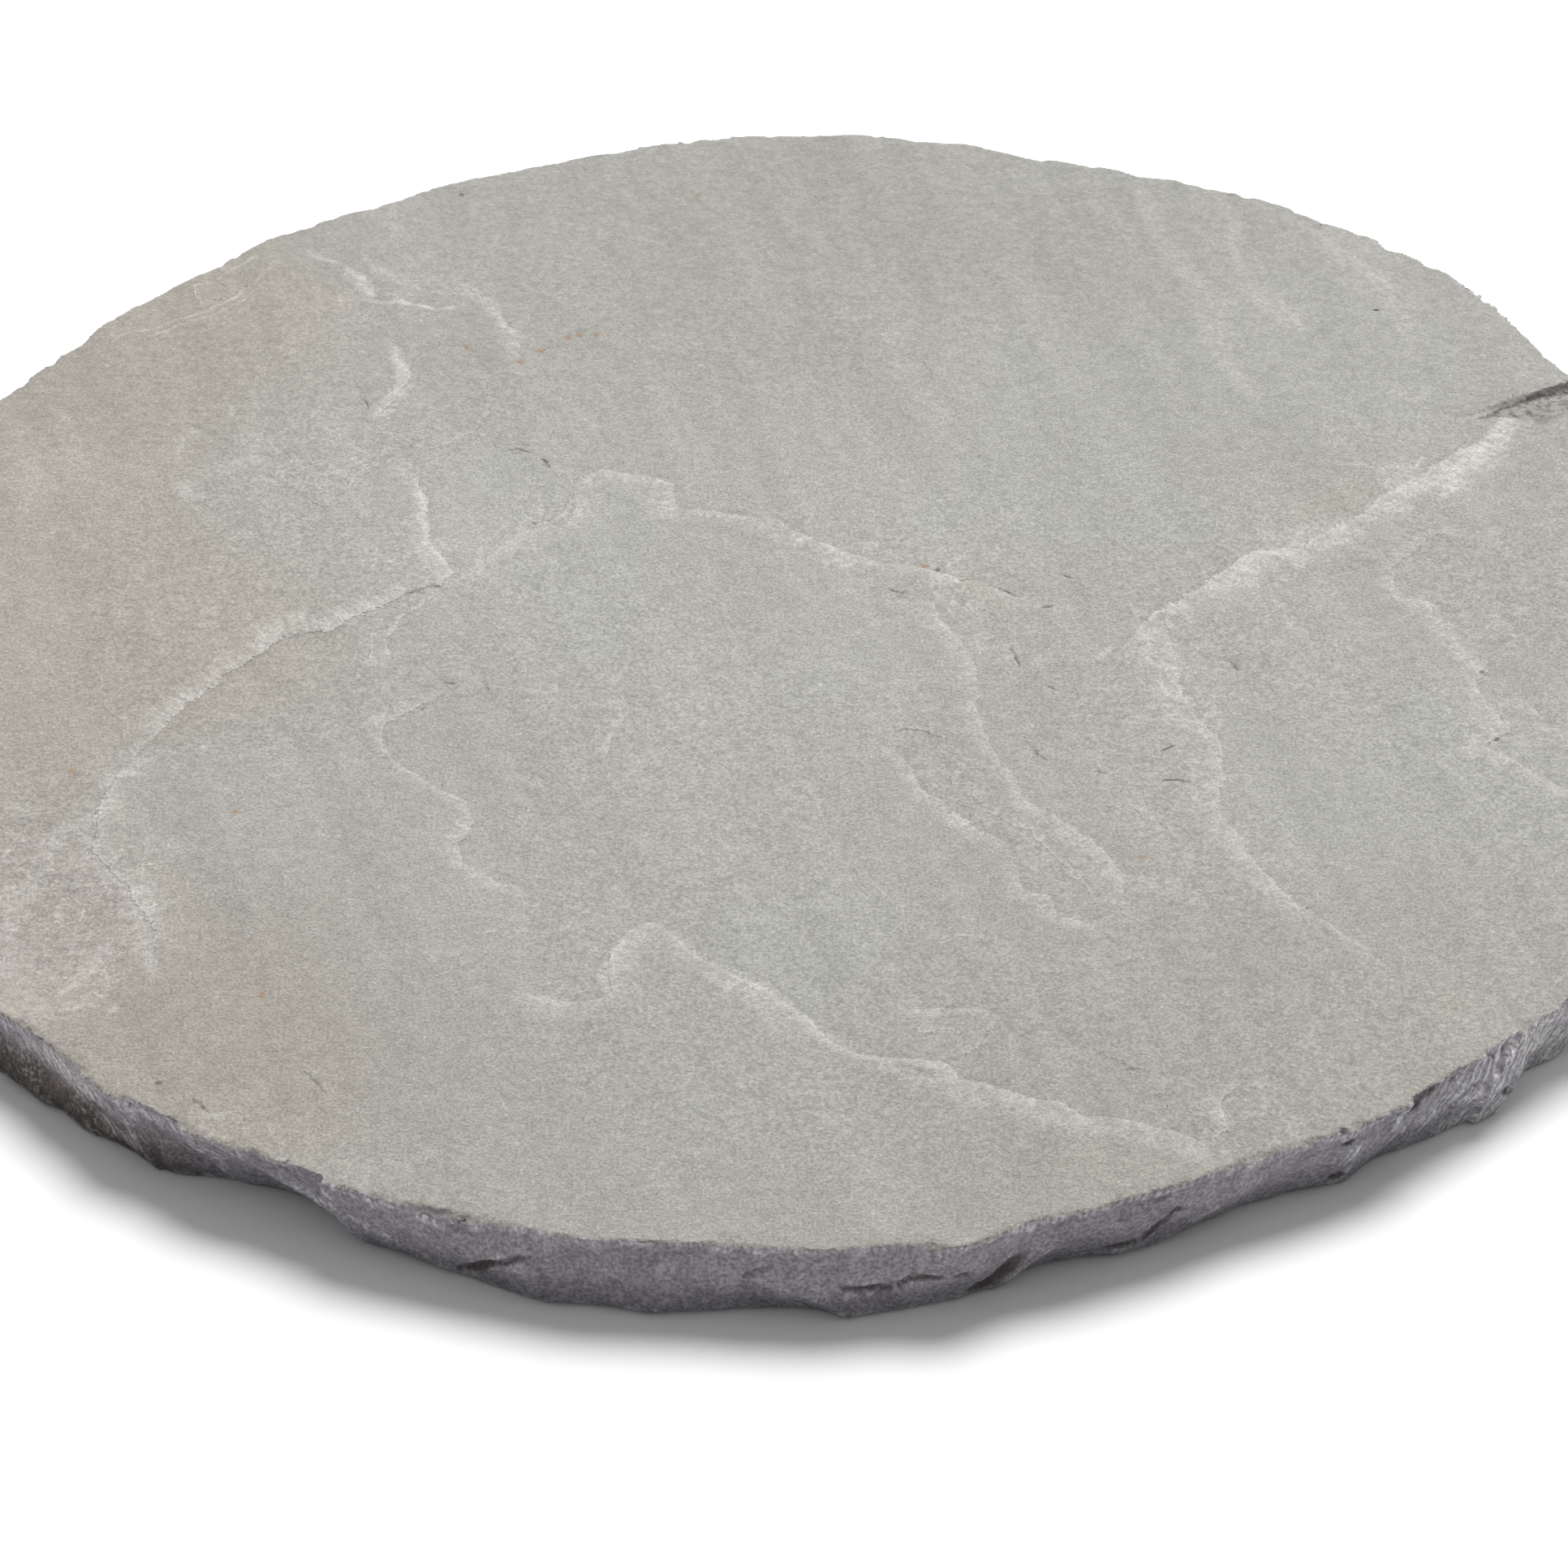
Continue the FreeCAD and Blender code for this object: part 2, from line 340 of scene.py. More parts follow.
# %% Relief grid
grid_cells = 1024
grid_step = 0.5
grid_start = -grid_step * grid_cells / 2
crisp_share = 0.35
axis = grid_start + grid_step * np.arange(grid_cells)
grid_x, grid_y = np.meshgrid(axis, axis)
slope_x = np.zeros((grid_cells, grid_cells))
slope_y = np.zeros((grid_cells, grid_cells))
for near, scaled, ends, along, (depth, width, paleness) in near_lips(grid_x.ravel(), grid_y.ravel()):
    rise = crisp_share * smoothstep(0, 0.12, scaled) + (1 - crisp_share) * smoothstep(0, 1, scaled)
    layer = np.zeros(grid_cells * grid_cells)
    layer[near] = depth * rise
    fade = np.zeros(grid_cells * grid_cells)
    fade[near] = ends
    layer_y, layer_x = np.gradient(layer.reshape(grid_cells, grid_cells), grid_step)
    inner = np.zeros(grid_cells * grid_cells)
    inner[near] = np.abs(scaled) < 1.6
    keep = (fade * inner).reshape(grid_cells, grid_cells)
    slope_x += layer_x * keep
    slope_y += layer_y * keep

turns = 2 * math.pi * np.fft.fftfreq(grid_cells, grid_step)
turn_x, turn_y = np.meshgrid(turns, turns)
turn_squared = turn_x ** 2 + turn_y ** 2
turn_squared[0, 0] = 1
wave = -1j * (turn_x * np.fft.fft2(slope_x) + turn_y * np.fft.fft2(slope_y)) / turn_squared
relief_share = 0.75
relief = relief_share * np.fft.ifft2(wave).real
on_stone_grid = np.hypot(grid_x, grid_y) < 228
crest = np.percentile(relief[on_stone_grid], 97)
print("relief from", relief[on_stone_grid].min().round(2), "to", relief[on_stone_grid].max().round(2), "mm")


# %% Read the relief
def face_drop(x, y):
    """How far the riven face lies below its highest layers, in mm."""
    column = (x - grid_start) / grid_step
    row = (y - grid_start) / grid_step
    left, front = np.floor(column).astype(int), np.floor(row).astype(int)
    share_x, share_y = column - left, row - front
    near_row = relief[front, left] * (1 - share_x) + relief[front, left + 1] * share_x
    far_row = relief[front + 1, left] * (1 - share_x) + relief[front + 1, left + 1] * share_x
    return np.maximum(crest - near_row * (1 - share_y) - far_row * share_y, 0)


# %% [markdown]
# ## The stone
# A copy of the CAD solid is remeshed into small even faces, like clay, so that relief can be pressed
# into it anywhere.

# %% Even mesh from the CAD solid
voxel = 0.0008
bpy.ops.object.select_all(action="DESELECT")
cad = frame["nodes"]["stepping_stone"]
cad.select_set(True)
bpy.context.view_layer.objects.active = cad
bpy.ops.object.duplicate()
stone = bpy.context.object
stone.name = "riven_stone"
bpy.ops.object.parent_clear(type="CLEAR_KEEP_TRANSFORM")
bpy.ops.object.mode_set(mode="EDIT")
bpy.ops.mesh.select_all(action="SELECT")
bpy.ops.mesh.remove_doubles(threshold=1e-5)
bpy.ops.object.mode_set(mode="OBJECT")
remesh = stone.modifiers.new("even faces", "REMESH")
remesh.mode = "VOXEL"
remesh.voxel_size = voxel
bpy.ops.object.modifier_apply(modifier=remesh.name)
print("even mesh:", len(stone.data.vertices), "points")


# %% Read and write points
def read_points(mesh):
    points = np.zeros(len(mesh.vertices) * 3)
    mesh.vertices.foreach_get("co", points)
    normals = np.zeros(len(mesh.vertices) * 3)
    mesh.vertex_normals.foreach_get("vector", normals)
    return points.reshape(-1, 3) * 1000, normals.reshape(-1, 3)


def write_points(mesh, points):
    mesh.vertices.foreach_set("co", (points / 1000).ravel())
    mesh.update()


# %% [markdown]
# ## Swellings of the outline
# No hand-dressed edge is an even circle. In four places the edge stands out a few millimetres,
# at the arris, at the foot or at both.

# %% Move the edge out
rim_radius = 225.0
# bearing in degrees, half length mm, how far the arris and the foot are moved out in mm
edge_swells = [
    (-94.5, 28.0, 0.0, 4.0),
    (-81.0, 17.0, 4.0, 0.0),
    (-31.0, 45.0, 6.5, 0.5),
    (42.0, 45.0, 2.2, 2.2),
]
points, normals = read_points(stone.data)
radius = np.hypot(points[:, 0], points[:, 1])
bearing = np.arctan2(points[:, 1], points[:, 0])
for turn, half_length, arris_push, foot_push in edge_swells:
    from_crest = np.abs(bearing - math.radians(turn)) * rim_radius
    push = foot_push + (arris_push - foot_push) * smoothstep(0, 0.75 * top_mm, points[:, 2])
    push *= smoothstep(half_length, 0, from_crest)
    push *= smoothstep(rim_radius - 4 * max(arris_push, foot_push) - 10, rim_radius - 5, radius)
    points[:, :2] *= (1 + push / np.maximum(radius, 1))[:, None]
write_points(stone.data, points)
print("edge reaches", np.hypot(points[:, 0], points[:, 1]).max().round(1), "mm from the middle")

# %% [markdown]
# ## Walking face
# Where the face looks up, each point is lowered by the layers lost above it.

# %% Pocket, notch and scoop
pocket_back = on_face([
    (1822, 513), (1835, 505), (1850, 497), (1875, 488), (1900, 480), (1932, 474), (1990, 458),
])
pocket_front = on_face([
    (1822, 514), (1840, 512), (1860, 516), (1890, 519), (1910, 516), (1932, 512), (1990, 502),
])
pocket_depth = 1.8
notch_depth = 2.4
notch_start = 158
notch_bearing = 28
notch_half_angle = 10
scoop_middle = (-185.8, -112.6)
scoop_reach = 43


def near_notch(x, y):
    """Whether points lie in the stretch of the edge that has the notch."""
    bearing = np.degrees(np.arctan2(y, x))
    return (np.hypot(x, y) > notch_start) & (np.abs(bearing - notch_bearing) < notch_half_angle)


def in_scoop(x, y):
    """Mask from 0 to 1 of the scoop at the left of the front."""
    return smoothstep(scoop_reach, scoop_reach - 7, np.hypot(x - scoop_middle[0], y - scoop_middle[1]))


def pocket(x, y):
    """Share of the pocket's depth, from its steep back wall to its front edge."""
    from_back = across_lip(x, y, pocket_back)[0]
    from_front = -across_lip(x, y, pocket_front)[0]
    inside = (from_back > 0) & (from_front > 0) & (from_back + from_front < 40)
    return np.where(inside, from_front / np.maximum(from_back + from_front, 1e-6), 0)


# %% Press the lips into the face
points, normals = read_points(stone.data)
face = (normals[:, 2] > 0.3) & (points[:, 2] > top_mm - 6.5)
x, y, cut_level = points[face].T
flat = points[face] * (1, 1, 0)
scoop = in_scoop(x, y)
notch = near_notch(x, y)
broad = 0.3 * (1 + rough(flat, 70.0, 6)) / 2
fine = 0.12 * (1 + rough(flat, 7.0, 7)) / 2
scab = scoop * (0.5 * (1 + rough(flat, 9.0, 8)) + 0.25 * (1 + rough(flat, 2.5, 9)))
riven = top_mm - 0.05 - face_drop(x, y) - broad - fine
sunk = pocket_depth * pocket(x + 0.2 * rough(flat, 3.0, 51), y + 0.3 * rough(flat, 3.0, 52))
deepest = riven - notch_depth
riven -= sunk * (0.8 + 0.3 * rough(flat, 2.5, 53))
cut_level = np.where(notch, np.maximum(cut_level, deepest), cut_level)
points[face, 2] = np.where((scoop > 0) | notch, np.minimum(cut_level, riven), riven) - scab
side = ~face & (points[:, 2] > top_mm / 3)
lowered = 0.05 + face_drop(points[side, 0], points[side, 1]) + 0.2
points[side, 2] -= lowered * smoothstep(top_mm / 3, top_mm, points[side, 2])
write_points(stone.data, points)
print("face lies from", points[face, 2].min().round(2), "to", points[face, 2].max().round(2), "mm,")
print("on average at", points[face, 2].mean().round(2), "mm")

# %% [markdown]
# ## Rim
# The rim was dressed with a hammer, so it is covered with small hollow flakes that meet in sharp
# arrises. They lean to the left at the left of the front and to the right at its right. At the foot
# the rim curls under.

# %% Leaning lines round the rim
def around(points):
    """Distance round the rim in mm, leaning with the flakes, and height."""
    bearing = np.arctan2(points[:, 1], points[:, 0])
    from_front = np.angle(np.exp(1j * (bearing + math.pi / 2)))
    return from_front * rim_radius - 0.9 * np.sin(from_front) * (points[:, 2] - top_mm / 2), points[:, 2]


def flakes(along, up, length, height, seed):
    """Hollows from 0 to 1 with sharp ridges between them, each about length by height, and their tone."""
    cells = 512
    jitter = np.random.default_rng(seed).uniform(0, 1, (cells, cells, 3))
    rim_length = 2 * math.pi * rim_radius
    columns = round(rim_length / length)
    column, row = along / rim_length * columns, up / height
    deepest = np.zeros(len(along))
    tone = np.zeros(len(along))
    for step_x, step_y in itertools.product((-1, 0, 1), repeat=2):
        cell_x, cell_y = np.floor(column).astype(int) + step_x, np.floor(row).astype(int) + step_y
        round_the_back = (cell_x + columns // 2) % columns - columns // 2
        place = jitter[round_the_back % cells, cell_y % cells]
        away = (column - cell_x - place[:, 0]) ** 2 + (row - cell_y - place[:, 1]) ** 2
        hollow = (0.5 + 0.5 * place[:, 2]) * (1 - away)
        tone = np.where(hollow > deepest, place[:, 2], tone)
        deepest = np.maximum(deepest, hollow)
    return deepest, tone


# %% Break the rim
points, normals = read_points(stone.data)
upright = 1 - smoothstep(0.35, 0.8, np.abs(normals[:, 2]))
along, up = around(points)
swirl = 2.5 * rough(points, 10.0, 11)
large, tone = flakes(along + swirl, up + 0.6 * swirl, 21.0, 15.0, 12)
small = flakes(along + swirl, up + 0.6 * swirl, 6.0, 5.0, 13)[0]
bedding = (1 + rough(points * (0.06, 0.06, 0.5), 1.0, 14)) / 2
crumbs = (1 + rough(points, 2.6, 15)) / 2
ragged = np.maximum(smoothstep(-130, -160, points[:, 0]), smoothstep(140, 165, points[:, 0]))
bite = 1.1 * large + 0.45 * small + 0.3 * bedding + (0.25 + 0.6 * ragged) * crumbs
proud = 1.3
points -= normals * (upright * (bite - proud))[:, None]
write_points(stone.data, points)
print("rim broken by up to", (upright * bite).max().round(2), "mm")


# %% Edge all round
def all_round(points, chosen, values):
    """Largest of the chosen points' values in each direction, read back at every point."""
    sectors = 720
    bearing = np.arctan2(points[:, 1], points[:, 0])
    sector = ((bearing + math.pi) / (2 * math.pi) * sectors).astype(int) % sectors
    largest = np.zeros(sectors)
    np.maximum.at(largest, sector[chosen], values[chosen])
    return largest[sector]


# %% Curl the foot under
points, normals = read_points(stone.data)
radius = np.hypot(points[:, 0], points[:, 1])
curl = 2.6 + 1.2 * rough(points * (1, 1, 0), 22.0, 16)
curl *= 1 - 0.7 * smoothstep(140, 165, points[:, 0]) - 0.4 * smoothstep(-120, -150, points[:, 0])
under = np.clip(1 - points[:, 2] / curl, 0, 1)
inset = curl * (1 - np.sqrt(1 - 0.95 * under ** 2))
foot_reach = 15.0
inside = all_round(points, points[:, 2] < 1.5, radius) - radius
inset *= np.clip(1 - inside / foot_reach, 0, 1)
points[:, :2] *= (1 - inset / np.maximum(radius, 1))[:, None]
write_points(stone.data, points)
print("foot curled under by up to", inset.max().round(2), "mm")

# %% [markdown]
# ## Chips along the arris
# The sharp upper edge lost small chips when it was dressed.

# %% Chip the arris
points, normals = read_points(stone.data)
radius = np.hypot(points[:, 0], points[:, 1])
upper = (normals[:, 2] > 0.6) & (points[:, 2] > top_mm / 2)
edge = all_round(points, upper, radius)
level = all_round(points, upper & (radius > edge - 2), points[:, 2])
from_arris = np.hypot(edge - radius, np.maximum(level - points[:, 2], 0))
steep = points * (1, 1, 0.4)
nicks = np.maximum(rough(steep, 3.5, 21), 0) + 0.8 * np.maximum(rough(steep, 9.0, 23), 0)
chips = np.maximum(rough(points * (1, 1, 0.2), 24.0, 22) - 0.35, 0)
sunk = np.maximum(0.2 + 1.6 * nicks + 2.8 * chips - from_arris, 0) * 0.7
outward = points[:, :2] / np.maximum(radius, 1)[:, None]
points[:, :2] -= outward * (sunk * 0.75)[:, None]
points[:, 2] -= sunk * 0.65
write_points(stone.data, points)
print("arris chipped by up to", sunk.max().round(2), "mm")

# %% [markdown]
# ## Forms and cracks of the rim
# The larger ridges, hollows and open cracks of the front rim were traced on the photograph too.
# A ray through each pixel is followed until it meets the stone, and the mesh is raised or pressed
# in along the line between the points it meets.

# %% Photograph to stone
def on_stone(pixels):
    """Points in millimetres where rays through pixels of the photograph meet the stone."""
    bpy.context.view_layer.update()
    focal = lens_mm / sensor_mm * photo_pixels
    met = []
    for column, row in pixels:
        ray = Vector(((column - photo_pixels / 2) / focal, (photo_pixels / 2 - row) / focal, -1))
        direction = camera.rotation_euler.to_matrix() @ ray
        hit, place, normal, polygon = stone.ray_cast(camera.location, direction)
        if hit:
            met.append(np.array(place) * 1000)
        else:
            print("no stone at pixel", column, row)
    return met


# %% Distance from traced lines
def from_lines(points, traced, taper=0.0):
    """Distance in mm from the nearest of some traced lines, widened towards their ends by the taper."""
    nearest = np.full(len(points), 99.0)
    margin = 12.0
    for line in filter(None, traced):
        line = np.array(line if len(line) > 1 else list(line) * 2)
        close = np.all((points > line.min(axis=0) - margin) & (points < line.max(axis=0) + margin), axis=1)
        parts = len(line) - 1
        for index, (start, end) in enumerate(zip(line[:-1], line[1:])):
            span = end - start
            offset = points[close] - start
            share = np.clip(offset @ span / max(span @ span, 1e-9), 0, 1)
            away = np.linalg.norm(offset - share[:, None] * span, axis=1)
            from_middle = np.abs(2 * (index + share) / parts - 1)
            nearest[close] = np.minimum(nearest[close], away + taper * from_middle ** 2)
    return nearest


def shake(points, size, reach, seed):
    """Points moved about by noise, so that a traced line turns ragged."""
    return points + reach * np.stack([rough(points, size, seed + part) for part in range(3)], axis=1)


# size mm, reach mm, seed
rim_shake = (4.0, 0.9, 41)
hair_shake = (2.0, 0.3, 31)
stroke_shake = (2.2, 0.7, 33)
tint_shake = (9.0, 4.0, 36)


def strokes(points, traced):
    """Mask from 0 to 1 of traced strokes, each a list of pixels with a half width."""
    mask = np.zeros(len(points))
    for pixels, half_width in traced:
        away = from_lines(points, [on_stone(pixels)], half_width / 2)
        mask = np.maximum(mask, 1 - away / half_width)
    return mask


# %% Beside a traced line
def beside_line(points, line, reach):
    """Distance in mm from a line traced down the rim, negative on its left as seen from outside."""
    line = np.array(line)
    inside = (points > line.min(axis=0) - reach) & (points < line.max(axis=0) + reach)
    close = np.flatnonzero(np.all(inside, axis=1))
    outward = line.mean(axis=0) * (1, 1, 0)
    nearest = np.full(len(close), 99.0)
    on_left = np.zeros(len(close), bool)
    for start, end in zip(line[:-1], line[1:]):
        span = end - start
        offset = points[close] - start
        share = np.clip(offset @ span / (span @ span), 0, 1)
        away = np.linalg.norm(offset - share[:, None] * span, axis=1)
        on_left = np.where(away < nearest, offset @ np.cross(span, outward) > 0, on_left)
        nearest = np.minimum(nearest, away)
    return close, np.where(on_left, -nearest, nearest)


# %% Broken blocks
def straight_out(points):
    """Directions that point level and straight out from the middle of the stone."""
    return points * (1, 1, 0) / np.maximum(np.hypot(points[:, 0], points[:, 1]), 1)[:, None]


# pixels from the arris down, reach mm, how far the stone stands out left and right of the line in mm
rim_breaks = [
    ([(151, 1356), (158, 1370), (168, 1392), (180, 1412)], 22.0, 1.3, -0.4),
    ([(219, 1392), (245, 1412), (268, 1432), (280, 1440)], 14.0, -0.9, 1.2),
    ([(397, 1462), (402, 1472), (410, 1482)], 24.0, -0.7, 1.6),
    ([(1735, 1354), (1727, 1372), (1724, 1390)], 14.0, 0.6, -1.3),
    ([(1851, 1304), (1840, 1322), (1828, 1346), (1816, 1368)], 16.0, -1.0, 1.2),
]
points, normals = read_points(stone.data)
upright = 1 - smoothstep(0.5, 0.85, normals[:, 2])
out = straight_out(points)
shaken = shake(points, *rim_shake)
for pixels, reach, left_height, right_height in rim_breaks:
    close, away = beside_line(shaken, on_stone(pixels), reach)
    height = left_height + (right_height - left_height) * smoothstep(-0.9, 0.9, away)
    raised = height * smoothstep(reach, 0, np.abs(away)) * upright[close]
    points[close] += out[close] * raised[:, None]
write_points(stone.data, points)

# %% Ridges and hollows
# pixels, half width mm, how far it stands out mm
rim_forms = [
    ([(5, 1305), (30, 1322), (52, 1342)], 9.0, 2.2),
    ([(1737, 1346), (1731, 1362), (1725, 1385), (1724, 1394)], 2.2, 0.9),
    ([(1850, 1300), (1840, 1320), (1828, 1350), (1815, 1368)], 2.2, 0.8),
    ([(1790, 1335), (1780, 1385)], 6.5, -1.2),
    ([(1868, 1318), (1850, 1346)], 4.0, -0.5),
    ([(1688, 1398), (1672, 1420), (1660, 1440)], 2.4, 0.7),
    ([(180, 1375), (200, 1400)], 6.0, -0.8),
    ([(236, 1406), (258, 1428), (282, 1446)], 2.2, 0.7),
    ([(396, 1460), (400, 1472), (414, 1488)], 1.8, 0.8),
]
points, normals = read_points(stone.data)
upright = 1 - smoothstep(0.5, 0.85, normals[:, 2])
out = straight_out(points)
shaken = shake(points, *rim_shake)
for pixels, half_width, height in rim_forms:
    away = from_lines(shaken, [on_stone(pixels)])
    points += out * (height * smoothstep(half_width, 0, away) * upright)[:, None]
box_low, box_high = np.array(low) * 1000 + 0.1, np.array(high) * 1000 - 0.1
box_low[2] = low[2] * 1000
points = np.clip(points, box_low, box_high)
write_points(stone.data, points)

# %% Traced cracks
# pixels, half width mm
rim_cracks = [
    ([(565, 1564), (580, 1562), (600, 1558), (625, 1553), (656, 1550)], 1.4),
    ([(568, 1564), (590, 1568)], 0.7),
    ([(553, 1516), (575, 1505), (590, 1501)], 0.5),
    ([(915, 1572), (935, 1568), (957, 1560)], 0.6),
    ([(908, 1541), (919, 1543)], 0.5),
    ([(1003, 1543), (1018, 1546)], 0.5),
    ([(1030, 1586), (1060, 1590), (1098, 1584)], 1.3),
    ([(1105, 1582), (1125, 1577), (1160, 1574), (1202, 1567)], 1.1),
    ([(1196, 1590), (1220, 1578), (1250, 1556), (1263, 1544)], 2.6),
    ([(1354, 1541), (1380, 1536), (1400, 1529)], 1.3),
    ([(1395, 1536), (1415, 1520), (1440, 1500), (1453, 1486)], 0.8),
    ([(1428, 1485), (1432, 1475), (1445, 1473)], 0.5),
    ([(1632, 1454), (1645, 1450), (1653, 1446)], 1.1),
    ([(1650, 1414), (1665, 1408), (1673, 1404)], 0.9),
    ([(1738, 1368), (1750, 1350), (1768, 1335)], 1.2),
    ([(1766, 1400), (1782, 1393), (1798, 1386)], 0.9),
    ([(1787, 1363), (1797, 1358)], 0.8),
    ([(1816, 1337), (1828, 1331)], 0.7),
    ([(1848, 1350), (1860, 1343), (1872, 1334)], 1.5),
    ([(1653, 1396), (1662, 1395)], 0.8),
    ([(1719, 1375), (1724, 1373)], 0.9),
    ([(1828, 1303), (1842, 1299)], 1.0),
    ([(1788, 1328), (1797, 1325)], 0.7),
    ([(158, 1361), (163, 1364)], 0.8),
    ([(239, 1405), (247, 1410)], 0.7),
]

# %% Press the cracks in
crack_depth = 2.0
points, normals = read_points(stone.data)
groove = strokes(shake(points, *rim_shake), rim_cracks)
points -= normals * (crack_depth * groove)[:, None]
points = np.clip(points, box_low, box_high)
write_points(stone.data, points)
print("cracked points:", np.count_nonzero(groove))

# %% [markdown]
# ## Lighter mesh
# Flat stretches need few faces and broken edges need many. Decimating by collapse keeps them where
# the shape turns.

# %% Decimate
triangle_budget = 102000
shortest_edge = 0.00025
bpy.ops.object.select_all(action="DESELECT")
stone.select_set(True)
bpy.context.view_layer.objects.active = stone
bpy.ops.object.mode_set(mode="EDIT")
bpy.ops.mesh.select_all(action="SELECT")
bpy.ops.mesh.remove_doubles(threshold=shortest_edge)
bpy.ops.mesh.quads_convert_to_tris()
bpy.ops.object.mode_set(mode="OBJECT")
thin = stone.modifiers.new("fewer faces", "DECIMATE")
thin.ratio = triangle_budget / len(stone.data.polygons)
bpy.ops.object.modifier_apply(modifier=thin.name)
bpy.ops.object.shade_smooth()
print("finished mesh:", len(stone.data.polygons), "triangles")

# %% [markdown]
# ## Hair cracks and specks
# Hair cracks in the face are thinner than the faces of the mesh, so the faces along them are
# divided first, and then the cracks are pressed in.

# %% Traced hair cracks
face_cracks = [
    [(627, 554), (640, 553), (655, 558)], [(667, 564), (673, 569), (679, 579)],
    [(448, 490), (452, 496), (455, 506)],
    [(501, 731), (512, 728), (524, 725)], [(530, 719), (536, 722), (546, 724)], [(656, 644), (661, 647)],
    [(1094, 722), (1100, 728), (1110, 731), (1117, 728)],
    [(1100, 903), (1115, 898), (1135, 900), (1168, 912)],
    [(1172, 708), (1184, 715), (1196, 714)], [(1225, 722), (1240, 729), (1258, 736)],
    [(1283, 749), (1300, 745)],
    [(1242, 785), (1250, 808), (1257, 822)], [(1308, 707), (1320, 712)], [(1383, 753), (1396, 757)],
    [(1289, 844), (1301, 850)], [(1265, 912), (1280, 930), (1290, 937)], [(1350, 950), (1362, 952)],
    [(1428, 962), (1450, 961), (1470, 965), (1477, 970)], [(1430, 925), (1450, 917)],
    [(543, 840), (568, 844)],
    [(595, 838), (604, 852)], [(1512, 810), (1522, 822), (1530, 826)],
    [(234, 1353), (246, 1360), (257, 1370)],
    [(375, 1320), (390, 1333), (400, 1345)], [(1388, 1317), (1400, 1318)],
]
dark_specks = [(195, 1335), (1826, 828), (1844, 911), (568, 240), (1155, 702)]
rust_specks = [
    (322, 1226), (700, 416), (714, 413), (735, 413), (668, 432), (575, 428), (640, 446),
    (1140, 697), (860, 240),
    (290, 1000), (88, 950), (1635, 1437), (1406, 1056),
]
hair_lines = [on_stone(pixels) for pixels in face_cracks]
dark_points = [on_stone([pixel]) for pixel in dark_specks]
rust_points = [on_stone([pixel]) for pixel in rust_specks]

